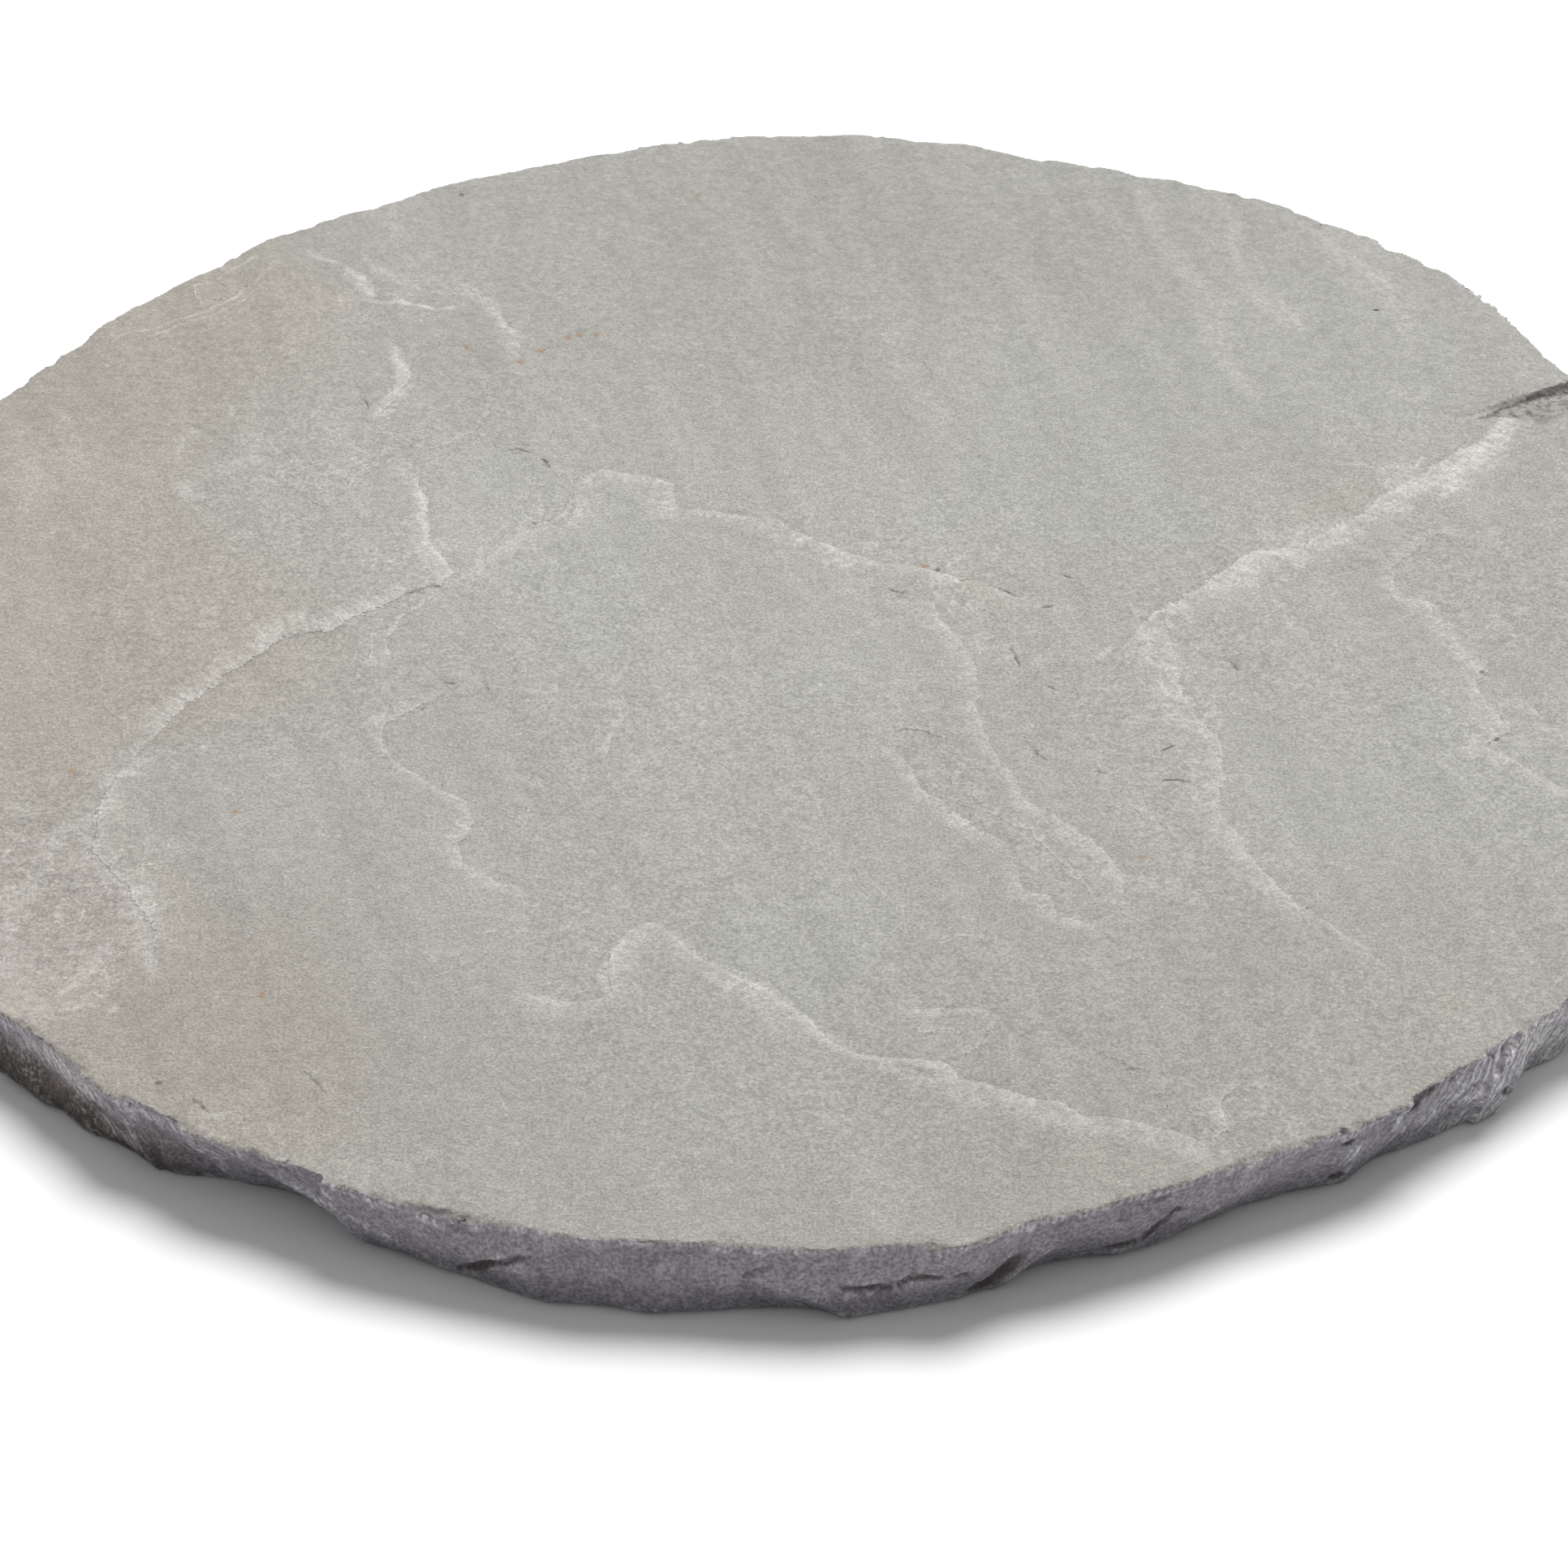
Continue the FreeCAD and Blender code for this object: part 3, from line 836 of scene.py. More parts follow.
# %% Pale strokes of the face
# pixels, half width mm, strength
frost_strokes = [
    ([(378, 305), (390, 316), (420, 326)], 1.3, 0.5),
    ([(430, 332), (440, 342), (450, 343)], 2.4, 0.9),
    ([(438, 350), (452, 353), (463, 367)], 1.6, 0.9),
    ([(448, 310), (460, 327), (474, 334), (484, 341)], 1.3, 0.5),
    ([(487, 366), (500, 376)], 1.6, 0.5),
    ([(518, 376), (534, 381)], 1.1, 0.6),
    ([(552, 378), (560, 381)], 1.3, 0.7),
    ([(560, 350), (578, 351), (597, 366), (610, 377), (618, 388)], 1.6, 0.6),
    ([(630, 405), (641, 418)], 1.3, 0.7),
    ([(626, 428), (636, 438)], 1.1, 0.5),
    ([(612, 459), (628, 457), (641, 460)], 0.8, 0.5),
    ([(540, 414), (545, 423)], 0.8, 0.5),
    ([(490, 432), (494, 446), (500, 462), (496, 476), (487, 490), (477, 502), (464, 511)], 3.0, 0.8),
    ([(481, 256), (486, 272), (490, 292)], 2.0, 0.35),
    ([(511, 590), (518, 612), (522, 640), (526, 664), (542, 684), (553, 703)], 1.8, 0.6),
    ([(548, 712), (540, 722), (528, 738), (515, 746)], 2.0, 0.6),
    ([(470, 738), (452, 750), (428, 760), (396, 770)], 3.0, 0.5),
    ([(498, 760), (486, 768), (481, 784)], 1.3, 0.4),
    ([(602, 662), (590, 682), (586, 696), (592, 711)], 1.5, 0.5),
    ([(652, 642), (636, 662), (612, 676)], 3.0, 0.35),
    ([(1012, 671), (1030, 676), (1034, 688), (1045, 697)], 0.8, 0.5),
    ([(1070, 674), (1080, 668)], 2.0, 0.5),
    ([(1148, 718), (1168, 717), (1178, 712)], 2.0, 0.6),
    ([(1168, 698), (1178, 690), (1190, 680)], 1.4, 0.6),
    ([(1150, 745), (1158, 765), (1172, 780), (1185, 787)], 1.3, 0.6),
    ([(1195, 785), (1205, 802)], 2.0, 0.4),
    ([(1180, 828), (1182, 846)], 0.9, 0.5),
    ([(1262, 818), (1280, 808), (1292, 803)], 0.9, 0.6),
    ([(1245, 790), (1258, 806)], 2.2, 0.35),
    ([(1372, 794), (1350, 815)], 1.3, 0.5),
    ([(1437, 766), (1448, 776)], 1.6, 0.8),
    ([(1405, 786), (1418, 788)], 1.3, 0.5),
    ([(1400, 797), (1415, 813), (1435, 825), (1448, 845)], 1.3, 0.5),
    ([(1445, 790), (1452, 810), (1455, 832)], 2.0, 0.5),
    ([(1862, 518), (1846, 540), (1826, 556), (1812, 572)], 5.0, 1.0),
    ([(1796, 576), (1785, 590), (1792, 598), (1778, 610)], 5.0, 0.9),
    ([(1704, 578), (1722, 576), (1738, 580), (1722, 592), (1706, 600)], 4.0, 0.7),
    ([(1752, 562), (1742, 584), (1716, 606)], 0.9, 0.8),
    ([(1640, 568), (1660, 572), (1700, 574)], 0.9, 0.4),
    ([(1706, 622), (1724, 628), (1734, 622), (1728, 638)], 2.6, 0.6),
    ([(1628, 652), (1648, 650), (1664, 652), (1648, 664), (1622, 676)], 2.4, 0.7),
    ([(1556, 654), (1580, 672), (1604, 694)], 4.5, 0.5),
    ([(1590, 682), (1597, 708)], 1.1, 0.7),
    ([(1604, 690), (1616, 692)], 1.1, 0.7),
    ([(1508, 722), (1520, 710), (1536, 706)], 2.6, 0.5),
    ([(1520, 720), (1560, 690), (1610, 660), (1660, 640)], 7.0, 0.5),
    ([(1690, 625), (1730, 605), (1785, 590)], 5.0, 0.5),
    ([(1560, 716), (1568, 738), (1584, 754), (1590, 780)], 1.4, 0.4),
    ([(1752, 738), (1776, 762), (1796, 788), (1812, 806), (1832, 826)], 1.8, 0.5),
    ([(168, 922), (150, 945), (132, 972)], 4.0, 0.45),
    ([(118, 1003), (105, 1015), (90, 1022)], 3.0, 0.5),
    ([(98, 992), (108, 991), (117, 998)], 0.9, 0.7),
    ([(100, 1028), (114, 1044), (120, 1056)], 2.4, 0.8),
    ([(120, 1056), (145, 1082), (165, 1102), (173, 1126), (180, 1152), (186, 1182), (190, 1204)], 3.4, 0.6),
    ([(80, 1020), (60, 1046), (46, 1078), (20, 1112), (2, 1156)], 3.6, 0.6),
    ([(86, 1076), (92, 1090), (108, 1098), (126, 1112)], 1.1, 0.6),
    ([(110, 1084), (122, 1076), (136, 1094), (138, 1116)], 1.0, 0.5),
    ([(146, 1150), (124, 1172), (106, 1196), (92, 1214), (70, 1226)], 3.0, 0.6),
    ([(60, 1130), (80, 1112)], 0.9, 0.6),
    ([(64, 1150), (80, 1142)], 0.9, 0.5),
    ([(146, 1238), (134, 1248)], 1.6, 0.6),
    ([(30, 990), (24, 1010)], 2.5, 0.4),
    ([(10, 1150), (16, 1180), (2, 1210)], 3.0, 0.5),
    ([(225, 596), (236, 606), (252, 612)], 4.0, 0.45),
    ([(222, 562), (224, 545), (218, 535)], 1.4, 0.5),
    ([(236, 528), (246, 540)], 1.8, 0.4),
    ([(278, 498), (288, 500), (286, 514)], 1.1, 0.5),
    ([(312, 486), (316, 502)], 2.0, 0.4),
    ([(76, 514), (92, 518)], 1.8, 0.5),
    ([(110, 514), (112, 519)], 1.4, 0.7),
    ([(22, 530), (28, 536)], 1.3, 0.5),
    ([(24, 622), (32, 630)], 1.6, 0.5),
    ([(50, 656), (58, 664)], 1.4, 0.6),
    ([(104, 668), (110, 676)], 1.1, 0.8),
    ([(118, 736), (126, 738)], 1.3, 0.7),
    ([(145, 750), (152, 762)], 1.3, 0.6),
    ([(30, 560), (40, 600), (50, 620)], 7.0, 0.3),
    ([(245, 590), (270, 580), (300, 570), (322, 565)], 4.0, 0.3),
    ([(640, 1215), (652, 1228), (680, 1236), (715, 1238)], 1.6, 0.5),
    ([(745, 1222), (748, 1200), (757, 1178), (775, 1150)], 2.4, 0.55),
    ([(775, 1150), (800, 1140), (815, 1138)], 2.0, 0.55),
    ([(818, 1142), (850, 1170), (900, 1195), (950, 1225), (1000, 1260)], 2.2, 0.45),
    ([(925, 1240), (960, 1262), (990, 1280)], 2.6, 0.35),
    ([(1010, 1268), (1060, 1302), (1130, 1328), (1200, 1350), (1300, 1380), (1400, 1402),
      (1480, 1424)], 4.2, 0.4),
    ([(1228, 1254), (1222, 1275), (1198, 1296)], 1.2, 0.45),
    ([(1530, 1340), (1550, 1335), (1560, 1350), (1556, 1375)], 1.2, 0.4),
    ([(1520, 1350), (1506, 1365), (1515, 1385)], 1.2, 0.5),
    ([(1300, 1525), (1240, 1527), (1180, 1530)], 1.3, 0.6),
    ([(1398, 224), (1430, 297), (1488, 364), (1507, 441), (1546, 490)], 5.0, 0.4),
    ([(1518, 246), (1521, 316), (1536, 345)], 2.0, 0.4),
    ([(1540, 350), (1570, 375), (1604, 405)], 6.0, 0.5),
    ([(1612, 278), (1642, 306), (1700, 345), (1729, 393), (1739, 441)], 3.0, 0.4),
    ([(1700, 470), (1740, 490), (1765, 480)], 2.0, 0.4),
    ([(245, 1396), (248, 1381), (262, 1374), (282, 1372)], 0.9, 0.7),
    ([(253, 1402), (262, 1395)], 1.4, 0.8),
]

# pixels, half width mm, strength
beige_strokes = [
    ([(1590, 632), (1640, 612), (1685, 600)], 9.0, 0.7),
    ([(1036, 682), (1060, 690), (1085, 700)], 5.0, 0.6),
    ([(1150, 712), (1190, 720), (1235, 742)], 8.0, 0.7),
    ([(1270, 705), (1290, 712)], 5.0, 0.5),
    ([(1225, 640), (1228, 655)], 4.0, 0.5),
    ([(1480, 760), (1530, 765)], 4.0, 0.5),
    ([(20, 1215), (40, 1240), (70, 1262)], 11.0, 0.9),
    ([(560, 620), (590, 660)], 12.0, 0.4),
    ([(100, 560), (150, 580), (190, 560)], 14.0, 0.6),
    ([(70, 740), (90, 770)], 10.0, 0.5),
    ([(370, 370), (430, 375)], 9.0, 0.6),
    ([(1780, 1230), (1800, 1250)], 6.0, 0.5),
]
frost_lines = [on_stone(pixels) for pixels, half_width, strength in frost_strokes]
beige_lines = [on_stone(pixels) for pixels, half_width, strength in beige_strokes]


# %% Finer faces along the marks
def refine(distance_from_mark, longest_edge):
    """Divide the triangles that a mark crosses until their edges are short enough."""
    for turn in range(4):
        points, normals = read_points(stone.data)
        corners = np.zeros(len(stone.data.polygons) * 3, int)
        stone.data.polygons.foreach_get("vertices", corners)
        corners = corners.reshape(-1, 3)
        edge = np.linalg.norm(points[corners] - points[np.roll(corners, 1, axis=1)], axis=2).max(axis=1)
        nearest = distance_from_mark(points, normals)[corners].min(axis=1)
        chosen = (edge > longest_edge) & (nearest < 0.6 * edge + 0.3)
        bpy.ops.object.mode_set(mode="EDIT")
        bpy.ops.mesh.select_mode(type="FACE")
        bpy.ops.mesh.select_all(action="DESELECT")
        bpy.ops.object.mode_set(mode="OBJECT")
        stone.data.polygons.foreach_set("select", chosen)
        bpy.ops.object.mode_set(mode="EDIT")
        bpy.ops.mesh.subdivide(number_cuts=1)
        bpy.ops.mesh.select_all(action="SELECT")
        bpy.ops.mesh.quads_convert_to_tris()
        bpy.ops.object.mode_set(mode="OBJECT")
    print("refined to", longest_edge, "mm, now", len(stone.data.polygons), "triangles")


# %% Refine along the lips, strokes and cracks
def from_lip_edges(narrowest, widest):
    """Function that gives the distance of points from the edges of lips between two widths."""
    def distance(points, normals):
        nearest = np.full(len(points), 99.0)
        for near, scaled, ends, along, (depth, width, paleness) in near_lips(points[:, 0], points[:, 1]):
            if narrowest < width <= widest:
                away = np.where(normals[near, 2] > 0.5, np.abs(scaled) * width, 99.0)
                nearest[near] = np.minimum(nearest[near], away)
        return nearest
    return distance


def from_traced(lines, shaking):
    """Function that gives the distance of points from traced lines, shaken as their marks are."""
    def distance(points, normals):
        return from_lines(shake(points, *shaking), lines)
    return distance


def from_pocket_back(points, normals):
    """Distance of points from the wall at the back of the pocket."""
    return np.abs(across_lip(points[:, 0], points[:, 1], pocket_back)[0])


thin_lines = [line for line, stroke in zip(frost_lines, frost_strokes) if stroke[1] < 2.0]
fine_lines = hair_lines + dark_points + rust_points
refine(from_lip_edges(3, 20), 2.2)
refine(from_traced(frost_lines, stroke_shake), 3.2)
refine(from_lip_edges(0, 3), 1.2)
refine(from_traced(thin_lines, stroke_shake), 1.4)
refine(from_pocket_back, 1.5)
refine(from_traced(fine_lines, hair_shake), 0.85)

# %% Remove slivers
# A few of the smallest triangles fold over each other. Their corners are cut out and the holes filled.
sliver_height = 0.00002
bpy.ops.object.mode_set(mode="EDIT")
bpy.ops.mesh.select_mode(type="VERT")
bpy.ops.mesh.select_all(action="SELECT")
bpy.ops.mesh.dissolve_degenerate(threshold=sliver_height)
bpy.ops.mesh.select_all(action="DESELECT")
bpy.ops.mesh.select_non_manifold()
bpy.ops.mesh.delete(type="VERT")
bpy.ops.mesh.select_non_manifold()
bpy.ops.mesh.fill_holes(sides=0)
bpy.ops.mesh.select_all(action="SELECT")
bpy.ops.mesh.quads_convert_to_tris()
bpy.ops.mesh.normals_make_consistent(inside=False)
bpy.ops.object.mode_set(mode="OBJECT")
bpy.ops.object.shade_smooth()
print("without slivers:", len(stone.data.polygons), "triangles")

# %% Press the hair cracks in
hair_depth = 0.35
hair_half_width = 0.5
points, normals = read_points(stone.data)
shaken = shake(points, *hair_shake)
hair = np.maximum(1 - from_lines(shaken, hair_lines, 0.4) / hair_half_width, 0)
points -= normals * (hair_depth * hair)[:, None]
points = np.clip(points, box_low, box_high)
write_points(stone.data, points)

# %% [markdown]
# ## Marks for the material
# The material needs to know where the lips and the rim are. Each point of the finished mesh keeps
# its distance from the nearest lip, how pale that lip is, whether it is on the rim or in the scoop,
# its place round the rim, and how sharp an edge it is on.

# %% Nearest lip
points, normals = read_points(stone.data)
nearest = np.full(len(points), 9.0)
pale = np.zeros(len(points))
reach = np.zeros(len(points))
for near, scaled, ends, along, (depth, width, paleness) in near_lips(points[:, 0], points[:, 1]):
    nearer = np.abs(scaled) < np.abs(nearest[near])
    nearest[near] = np.where(nearer, scaled, nearest[near])
    pale[near] = np.where(nearer, paleness * (0.35 + 0.65 * ends), pale[near])
    reach[near] = np.where(nearer, along, reach[near])

# %% Sharp edges
edges = np.zeros(len(stone.data.edges) * 2, int)
stone.data.edges.foreach_get("vertices", edges)
first, second = edges.reshape(-1, 2).T
span = points[first] - points[second]
turned = np.sum((normals[first] - normals[second]) * span, axis=1)
bend = turned / np.maximum(np.sum(span * span, axis=1), 1e-6)
share = np.bincount(first, minlength=len(points)) + np.bincount(second, minlength=len(points))
worn = (np.bincount(first, bend, len(points)) + np.bincount(second, bend, len(points))) / share
for turn in range(2):
    beside = np.bincount(first, worn[second], len(points))
    beside += np.bincount(second, worn[first], len(points))
    worn = 0.5 * worn + 0.5 * beside / share
print("edge sharpness", np.percentile(worn, [5, 50, 95, 99]).round(3))

# %% Cracks, specks and chalky arrises
chalk_strokes = [
    ([(6, 1266), (60, 1302), (110, 1345), (145, 1372)], 7.0),
    ([(120, 1372), (150, 1398), (176, 1414)], 4.0),
    ([(158, 1360), (200, 1384), (245, 1404)], 3.0),
    ([(152, 1358), (165, 1382), (182, 1414)], 2.0),
    ([(215, 1390), (245, 1412), (282, 1440)], 3.5),
    ([(360, 1462), (395, 1480), (415, 1490)], 2.5),
    ([(394, 1458), (398, 1470), (410, 1483)], 1.2),
    ([(425, 1494), (455, 1512), (500, 1538)], 1.0),
    ([(455, 1490), (470, 1482), (480, 1476)], 1.2),
    ([(1655, 1438), (1672, 1420), (1690, 1400)], 2.5),
    ([(1730, 1362), (1720, 1388), (1735, 1404)], 2.5),
    ([(1752, 1392), (1770, 1370), (1785, 1340)], 6.0),
    ([(1815, 1366), (1830, 1345), (1850, 1308), (1880, 1285)], 7.0),
    ([(1890, 1300), (1925, 1262)], 8.0),
    ([(1240, 1512), (1285, 1514)], 2.0),
    ([(1400, 1462), (1450, 1462)], 2.0),
    ([(1470, 1442), (1490, 1440)], 2.0),
]
shaken = shake(points, *hair_shake)
# The crack masks below become painted shadow inside the cracks in the material.
hair = smoothstep(0.5, 0.15, from_lines(shaken, hair_lines, 0.25))
specks = smoothstep(0.9, 0.4, from_lines(shaken, dark_points))
rust = smoothstep(1.3, 0.4, from_lines(shaken, rust_points))
shaken = shake(points, *rim_shake)
open_cracks = smoothstep(0.0, 0.55, strokes(shaken, rim_cracks))
chalk = smoothstep(0.0, 0.8, strokes(shaken, chalk_strokes))

# %% Frost, tints and painted shade of the face
def painted(points, lines, traced):
    """Mask from 0 to 1 of soft strokes along lines on the stone, each with a half width and a strength."""
    mask = np.zeros(len(points))
    for line, (pixels, half_width, strength) in zip(lines, traced):
        away = from_lines(points, [line], half_width / 3)
        mask = np.maximum(mask, strength * smoothstep(half_width, 0.3 * half_width, away))
    return mask


frost = painted(shake(points, *stroke_shake), frost_lines, frost_strokes)
beige = painted(shake(points, *tint_shake), beige_lines, beige_strokes)
flat = points * (1, 1, 0)
warm = 0.1 + 0.9 * smoothstep(-40, -190, points[:, 0]) + 0.3 * smoothstep(-70, -190, points[:, 1])
warm += 0.3 * rough(flat, 60.0, 61) + 0.15 * rough(flat, 25.0, 62)
# The face is painted darker towards the front, as painted shade where the light from behind falls off. The
# darker middle of the back and the faint mottle are the stone's own tone.
shade = 0.93 + 0.07 * smoothstep(-170, -10, points[:, 1]) + 0.015 * rough(flat, 40.0, 63)
shade -= 0.05 * smoothstep(110, 190, points[:, 1]) * smoothstep(130, 60, np.abs(points[:, 0]))

# %% Marks
broken_patches = [
    ((1180, 720), 160), ((1060, 690), 110), ((1260, 790), 90), ((520, 690), 150),
    ((400, 560), 160), ((680, 620), 90),
    ((1450, 850), 140), ((1470, 960), 90), ((1820, 760), 150), ((1880, 900), 110),
    ((480, 360), 160), ((120, 1080), 190),
    ((1540, 1390), 110), ((720, 1200), 100), ((1560, 720), 140), ((270, 1390), 60),
]
along, up = around(points)
lean_angle = along / rim_radius - math.pi / 2
scoop = in_scoop(points[:, 0], points[:, 1])
pocket_mark = smoothstep(0, 0.15, pocket(points[:, 0], points[:, 1]))
below_face = top_mm - 0.3 - face_drop(points[:, 0], points[:, 1]) - points[:, 2]
ledges = smoothstep(1.0, 2.0, below_face) * (1 - scoop) * ~near_notch(points[:, 0], points[:, 1])
rim = np.maximum(1 - smoothstep(0.4, 0.7, normals[:, 2]), ledges)
from_wall = across_lip(points[:, 0] + 0.3 * rough(points, 3.0, 54), points[:, 1], pocket_back)[0]
from_front = across_lip(points[:, 0], points[:, 1] + 0.6 * rough(points, 3.0, 55), pocket_front)[0]
# The back wall and the front edge of the pocket get dark lines, painted shadow in the crevices there.
painted_crevice_shadow = smoothstep(0.9, 0.4, np.abs(from_wall))
painted_crevice_shadow = np.maximum(painted_crevice_shadow, 0.6 * smoothstep(0.7, 0.2, np.abs(from_front)))
painted_crevice_shadow *= smoothstep(0.0, 0.02, pocket_mark)
# Hair cracks, open cracks of the rim and the pocket's crevices are painted dark, as painted shadow inside
# them. The dark specks are the stone's own colour.
dark = np.maximum(np.maximum(0.8 * hair, 0.8 * specks), np.maximum(0.9 * open_cracks, 0.8 * painted_crevice_shadow))
swirl = 2.5 * rough(points, 10.0, 11)
large, tone = flakes(along + swirl, up + 0.6 * swirl, 21.0, 15.0, 12)
left_end = smoothstep(-120, -150, points[:, 0])
# The rim is painted darker towards its foot, a little more at the left end and less at the right end. This
# is painted shade where the rim curls under and gets less light.
foot = smoothstep(13, 3, points[:, 2] + 2.5 * rough(points, 9.0, 64))
damp = foot * (0.35 + 0.1 * left_end) * (1 - 0.6 * smoothstep(140, 170, points[:, 0]))
soil = left_end * smoothstep(16, 9, points[:, 2] + 3 * rough(points, 7.0, 65))
broken = np.zeros(len(points))
for pixel, reach_px in broken_patches:
    centre = on_face([pixel])[0]
    patch_reach = reach_px * 0.18
    broken = np.maximum(broken, smoothstep(1, 0.3, np.hypot(*(points[:, :2] - centre).T) / patch_reach))
marks = {
    "lip": nearest, "pale": pale, "reach": reach / 1000, "rim": rim, "scoop": scoop,
    "lean_x": np.cos(lean_angle) * rim_radius / 1000, "lean_y": np.sin(lean_angle) * rim_radius / 1000,
    "worn": worn, "dark": dark, "rust": rust, "chalk": chalk, "tone": tone, "broken": broken,
    "frost": frost, "beige": beige, "warm": warm, "shade": shade,
    "pocket": pocket_mark, "damp": damp, "soil": soil,
}
for name, values in marks.items():
    mark = stone.data.attributes.new(name, "FLOAT", "POINT")
    mark.data.foreach_set("value", values.astype(np.float32))
print("marks on", len(points), "points")


# %% [markdown]
# ## Unwrapping
# The walking face, the underside and four strips of the rim are laid out side by side, so that
# the colours of the stone can be baked with most room for the face.

# %% Unwrap
corners = np.zeros(len(stone.data.loops), int)
stone.data.loops.foreach_get("vertex_index", corners)
triangles = points[corners].reshape(-1, 3, 3)
middle = triangles.mean(axis=1)
facing = np.cross(triangles[:, 1] - triangles[:, 0], triangles[:, 2] - triangles[:, 0])
facing = facing[:, 2] / np.maximum(np.linalg.norm(facing, axis=1), 1e-9)
turned = np.arctan2(middle[:, 1], middle[:, 0])
strip = np.clip(np.floor((turned + math.pi) / (math.pi / 2)), 0, 3)
corner_turn = np.arctan2(triangles[:, :, 1], triangles[:, :, 0])
from_middle = np.angle(np.exp(1j * (corner_turn - turned[:, None])))
in_strip = (turned[:, None] + from_middle + math.pi) / (math.pi / 2) - strip[:, None]
layout = np.zeros((len(triangles), 3, 2))
layout[:, :, 0] = 0.785 + 0.052 * strip[:, None] + 0.037 * triangles[:, :, 2] / top_mm
layout[:, :, 1] = 0.03 + 0.6 * in_strip
upward = facing > 0.45
downward = (facing < -0.9) & (middle[:, 2] < 0.5)
layout[upward] = 0.38 + 0.74 / 455 * triangles[upward, :, :2]
layout[downward] = (0.88, 0.84) + 0.2 / 455 * triangles[downward, :, :2]
uv = stone.data.uv_layers.new(name="OFBake")
uv.data.foreach_set("uv", layout.ravel())
print("unwrapped", np.count_nonzero(upward), "faces of the top and", np.count_nonzero(downward), "below")

# %% [markdown]
# ## Sandstone
# The face is pale grey with a green and a warm cast in long streaks, a fine sandy grain, bright
# quartz grains and pale, freshly broken lips. The rim is darker and mauve, with thin bedding.

# %% Material helpers
def srgb(red, green, blue):
    """Linear colour of an 8-bit screen colour."""
    def linear(value):
        value = value / 255
        return value / 12.92 if value < 0.04045 else ((value + 0.055) / 1.055) ** 2.4
    return (linear(red), linear(green), linear(blue), 1)


material = bpy.data.materials.new("riven_sandstone")
material.use_nodes = True
tree = material.node_tree
shader = tree.nodes["Principled BSDF"]


def add(kind, inputs=(), **settings):
    """A node with its settings, its inputs given as (name or index, value or socket)."""
    node = tree.nodes.new(kind)
    for name, value in settings.items():
        setattr(node, name, value)
    for name, value in inputs:
        if isinstance(value, bpy.types.NodeSocket):
            tree.links.new(value, node.inputs[name])
        else:
            node.inputs[name].default_value = value
    return node


def noise(vector, size_mm, detail=2.0):
    """Noise with features about size_mm across."""
    inputs = [("Vector", vector), ("Scale", 1000 / size_mm), ("Detail", detail)]
    return add("ShaderNodeTexNoise", inputs).outputs["Fac"]


def ramp(value, start, end, low=0.0, high=1.0):
    """Value moved smoothly from low to high between start and end."""
    inputs = [("Value", value), ("From Min", start), ("From Max", end), ("To Min", low), ("To Max", high)]
    return add("ShaderNodeMapRange", inputs, interpolation_type="SMOOTHSTEP").outputs["Result"]


def maths(operation, first, second):
    return add("ShaderNodeMath", [(0, first), (1, second)], operation=operation).outputs[0]


def mix(share, first, second, blend="MIX"):
    """Two colours mixed by a share."""
    inputs = [("Factor", share), ("A", first), ("B", second)]
    node = add("ShaderNodeMix", data_type="RGBA", blend_type=blend)
    colour_inputs = [s for s in node.inputs if s.type == "RGBA"]
    share_input = node.inputs[0]
    for socket, (name, value) in zip([share_input] + colour_inputs, inputs):
        if isinstance(value, bpy.types.NodeSocket):
            tree.links.new(value, socket)
        else:
            socket.default_value = value
    return [s for s in node.outputs if s.type == "RGBA"][0]


def mark(name):
    return add("ShaderNodeAttribute", attribute_name=name).outputs["Fac"]


def product(*values):
    """Several values multiplied together."""
    total = values[0]
    for value in values[1:]:
        total = maths("MULTIPLY", total, value)
    return total


def shaded(colour, value):
    """A colour made lighter or darker by a value."""
    return add("ShaderNodeVectorMath", [(0, colour), (1, value)], operation="MULTIPLY").outputs[0]


# %% Colour of the walking face
place = add("ShaderNodeTexCoord").outputs["Object"]
axes = add("ShaderNodeSeparateXYZ", [("Vector", place)]).outputs
streak_turn = math.radians(15)
streaked = add(
    "ShaderNodeMapping",
    [("Vector", place), ("Rotation", (0, 0, streak_turn)), ("Scale", (1, 10, 1))],
    vector_type="TEXTURE",
).outputs["Vector"]

face_colour = mix(mark("warm"), srgb(182, 181, 176), srgb(178, 173, 164))
streak = ramp(noise(streaked, 9.0, 4.0), 0.3, 0.7, 0.96, 1.04)
mottle = ramp(noise(place, 5.0, 3.0), 0.3, 0.7, 0.965, 1.035)
coarse = ramp(noise(place, 1.7, 2.0), 0.25, 0.75, 0.92, 1.08)
smoother = ramp(axes[1], 0.05, 0.2, 0.0, 0.1)
darkest = maths("ADD", 0.78, smoother)
lightest = maths("SUBTRACT", 1.22, smoother)
grain = ramp(noise(place, 0.65, 2.0), 0.25, 0.75, darkest, lightest)
# Just below the crisp edge of each lip the face is painted slightly darker, as painted shade at the foot of
# the step.
painted_lip_foot_shade = product(ramp(mark("lip"), -0.6, -0.02), ramp(mark("lip"), 0.0, 0.02, 0.05, 0.0), mark("pale"))
# This shade carries the painted shade towards the front and at the foot of the lips, together with the
# streaks, mottle and grain of the stone.
shade = product(mark("shade"), streak, mottle, coarse, grain, maths("SUBTRACT", 1.0, painted_lip_foot_shade))
face_colour = mix(maths("MULTIPLY", mark("beige"), 0.4), face_colour, srgb(195, 187, 173))

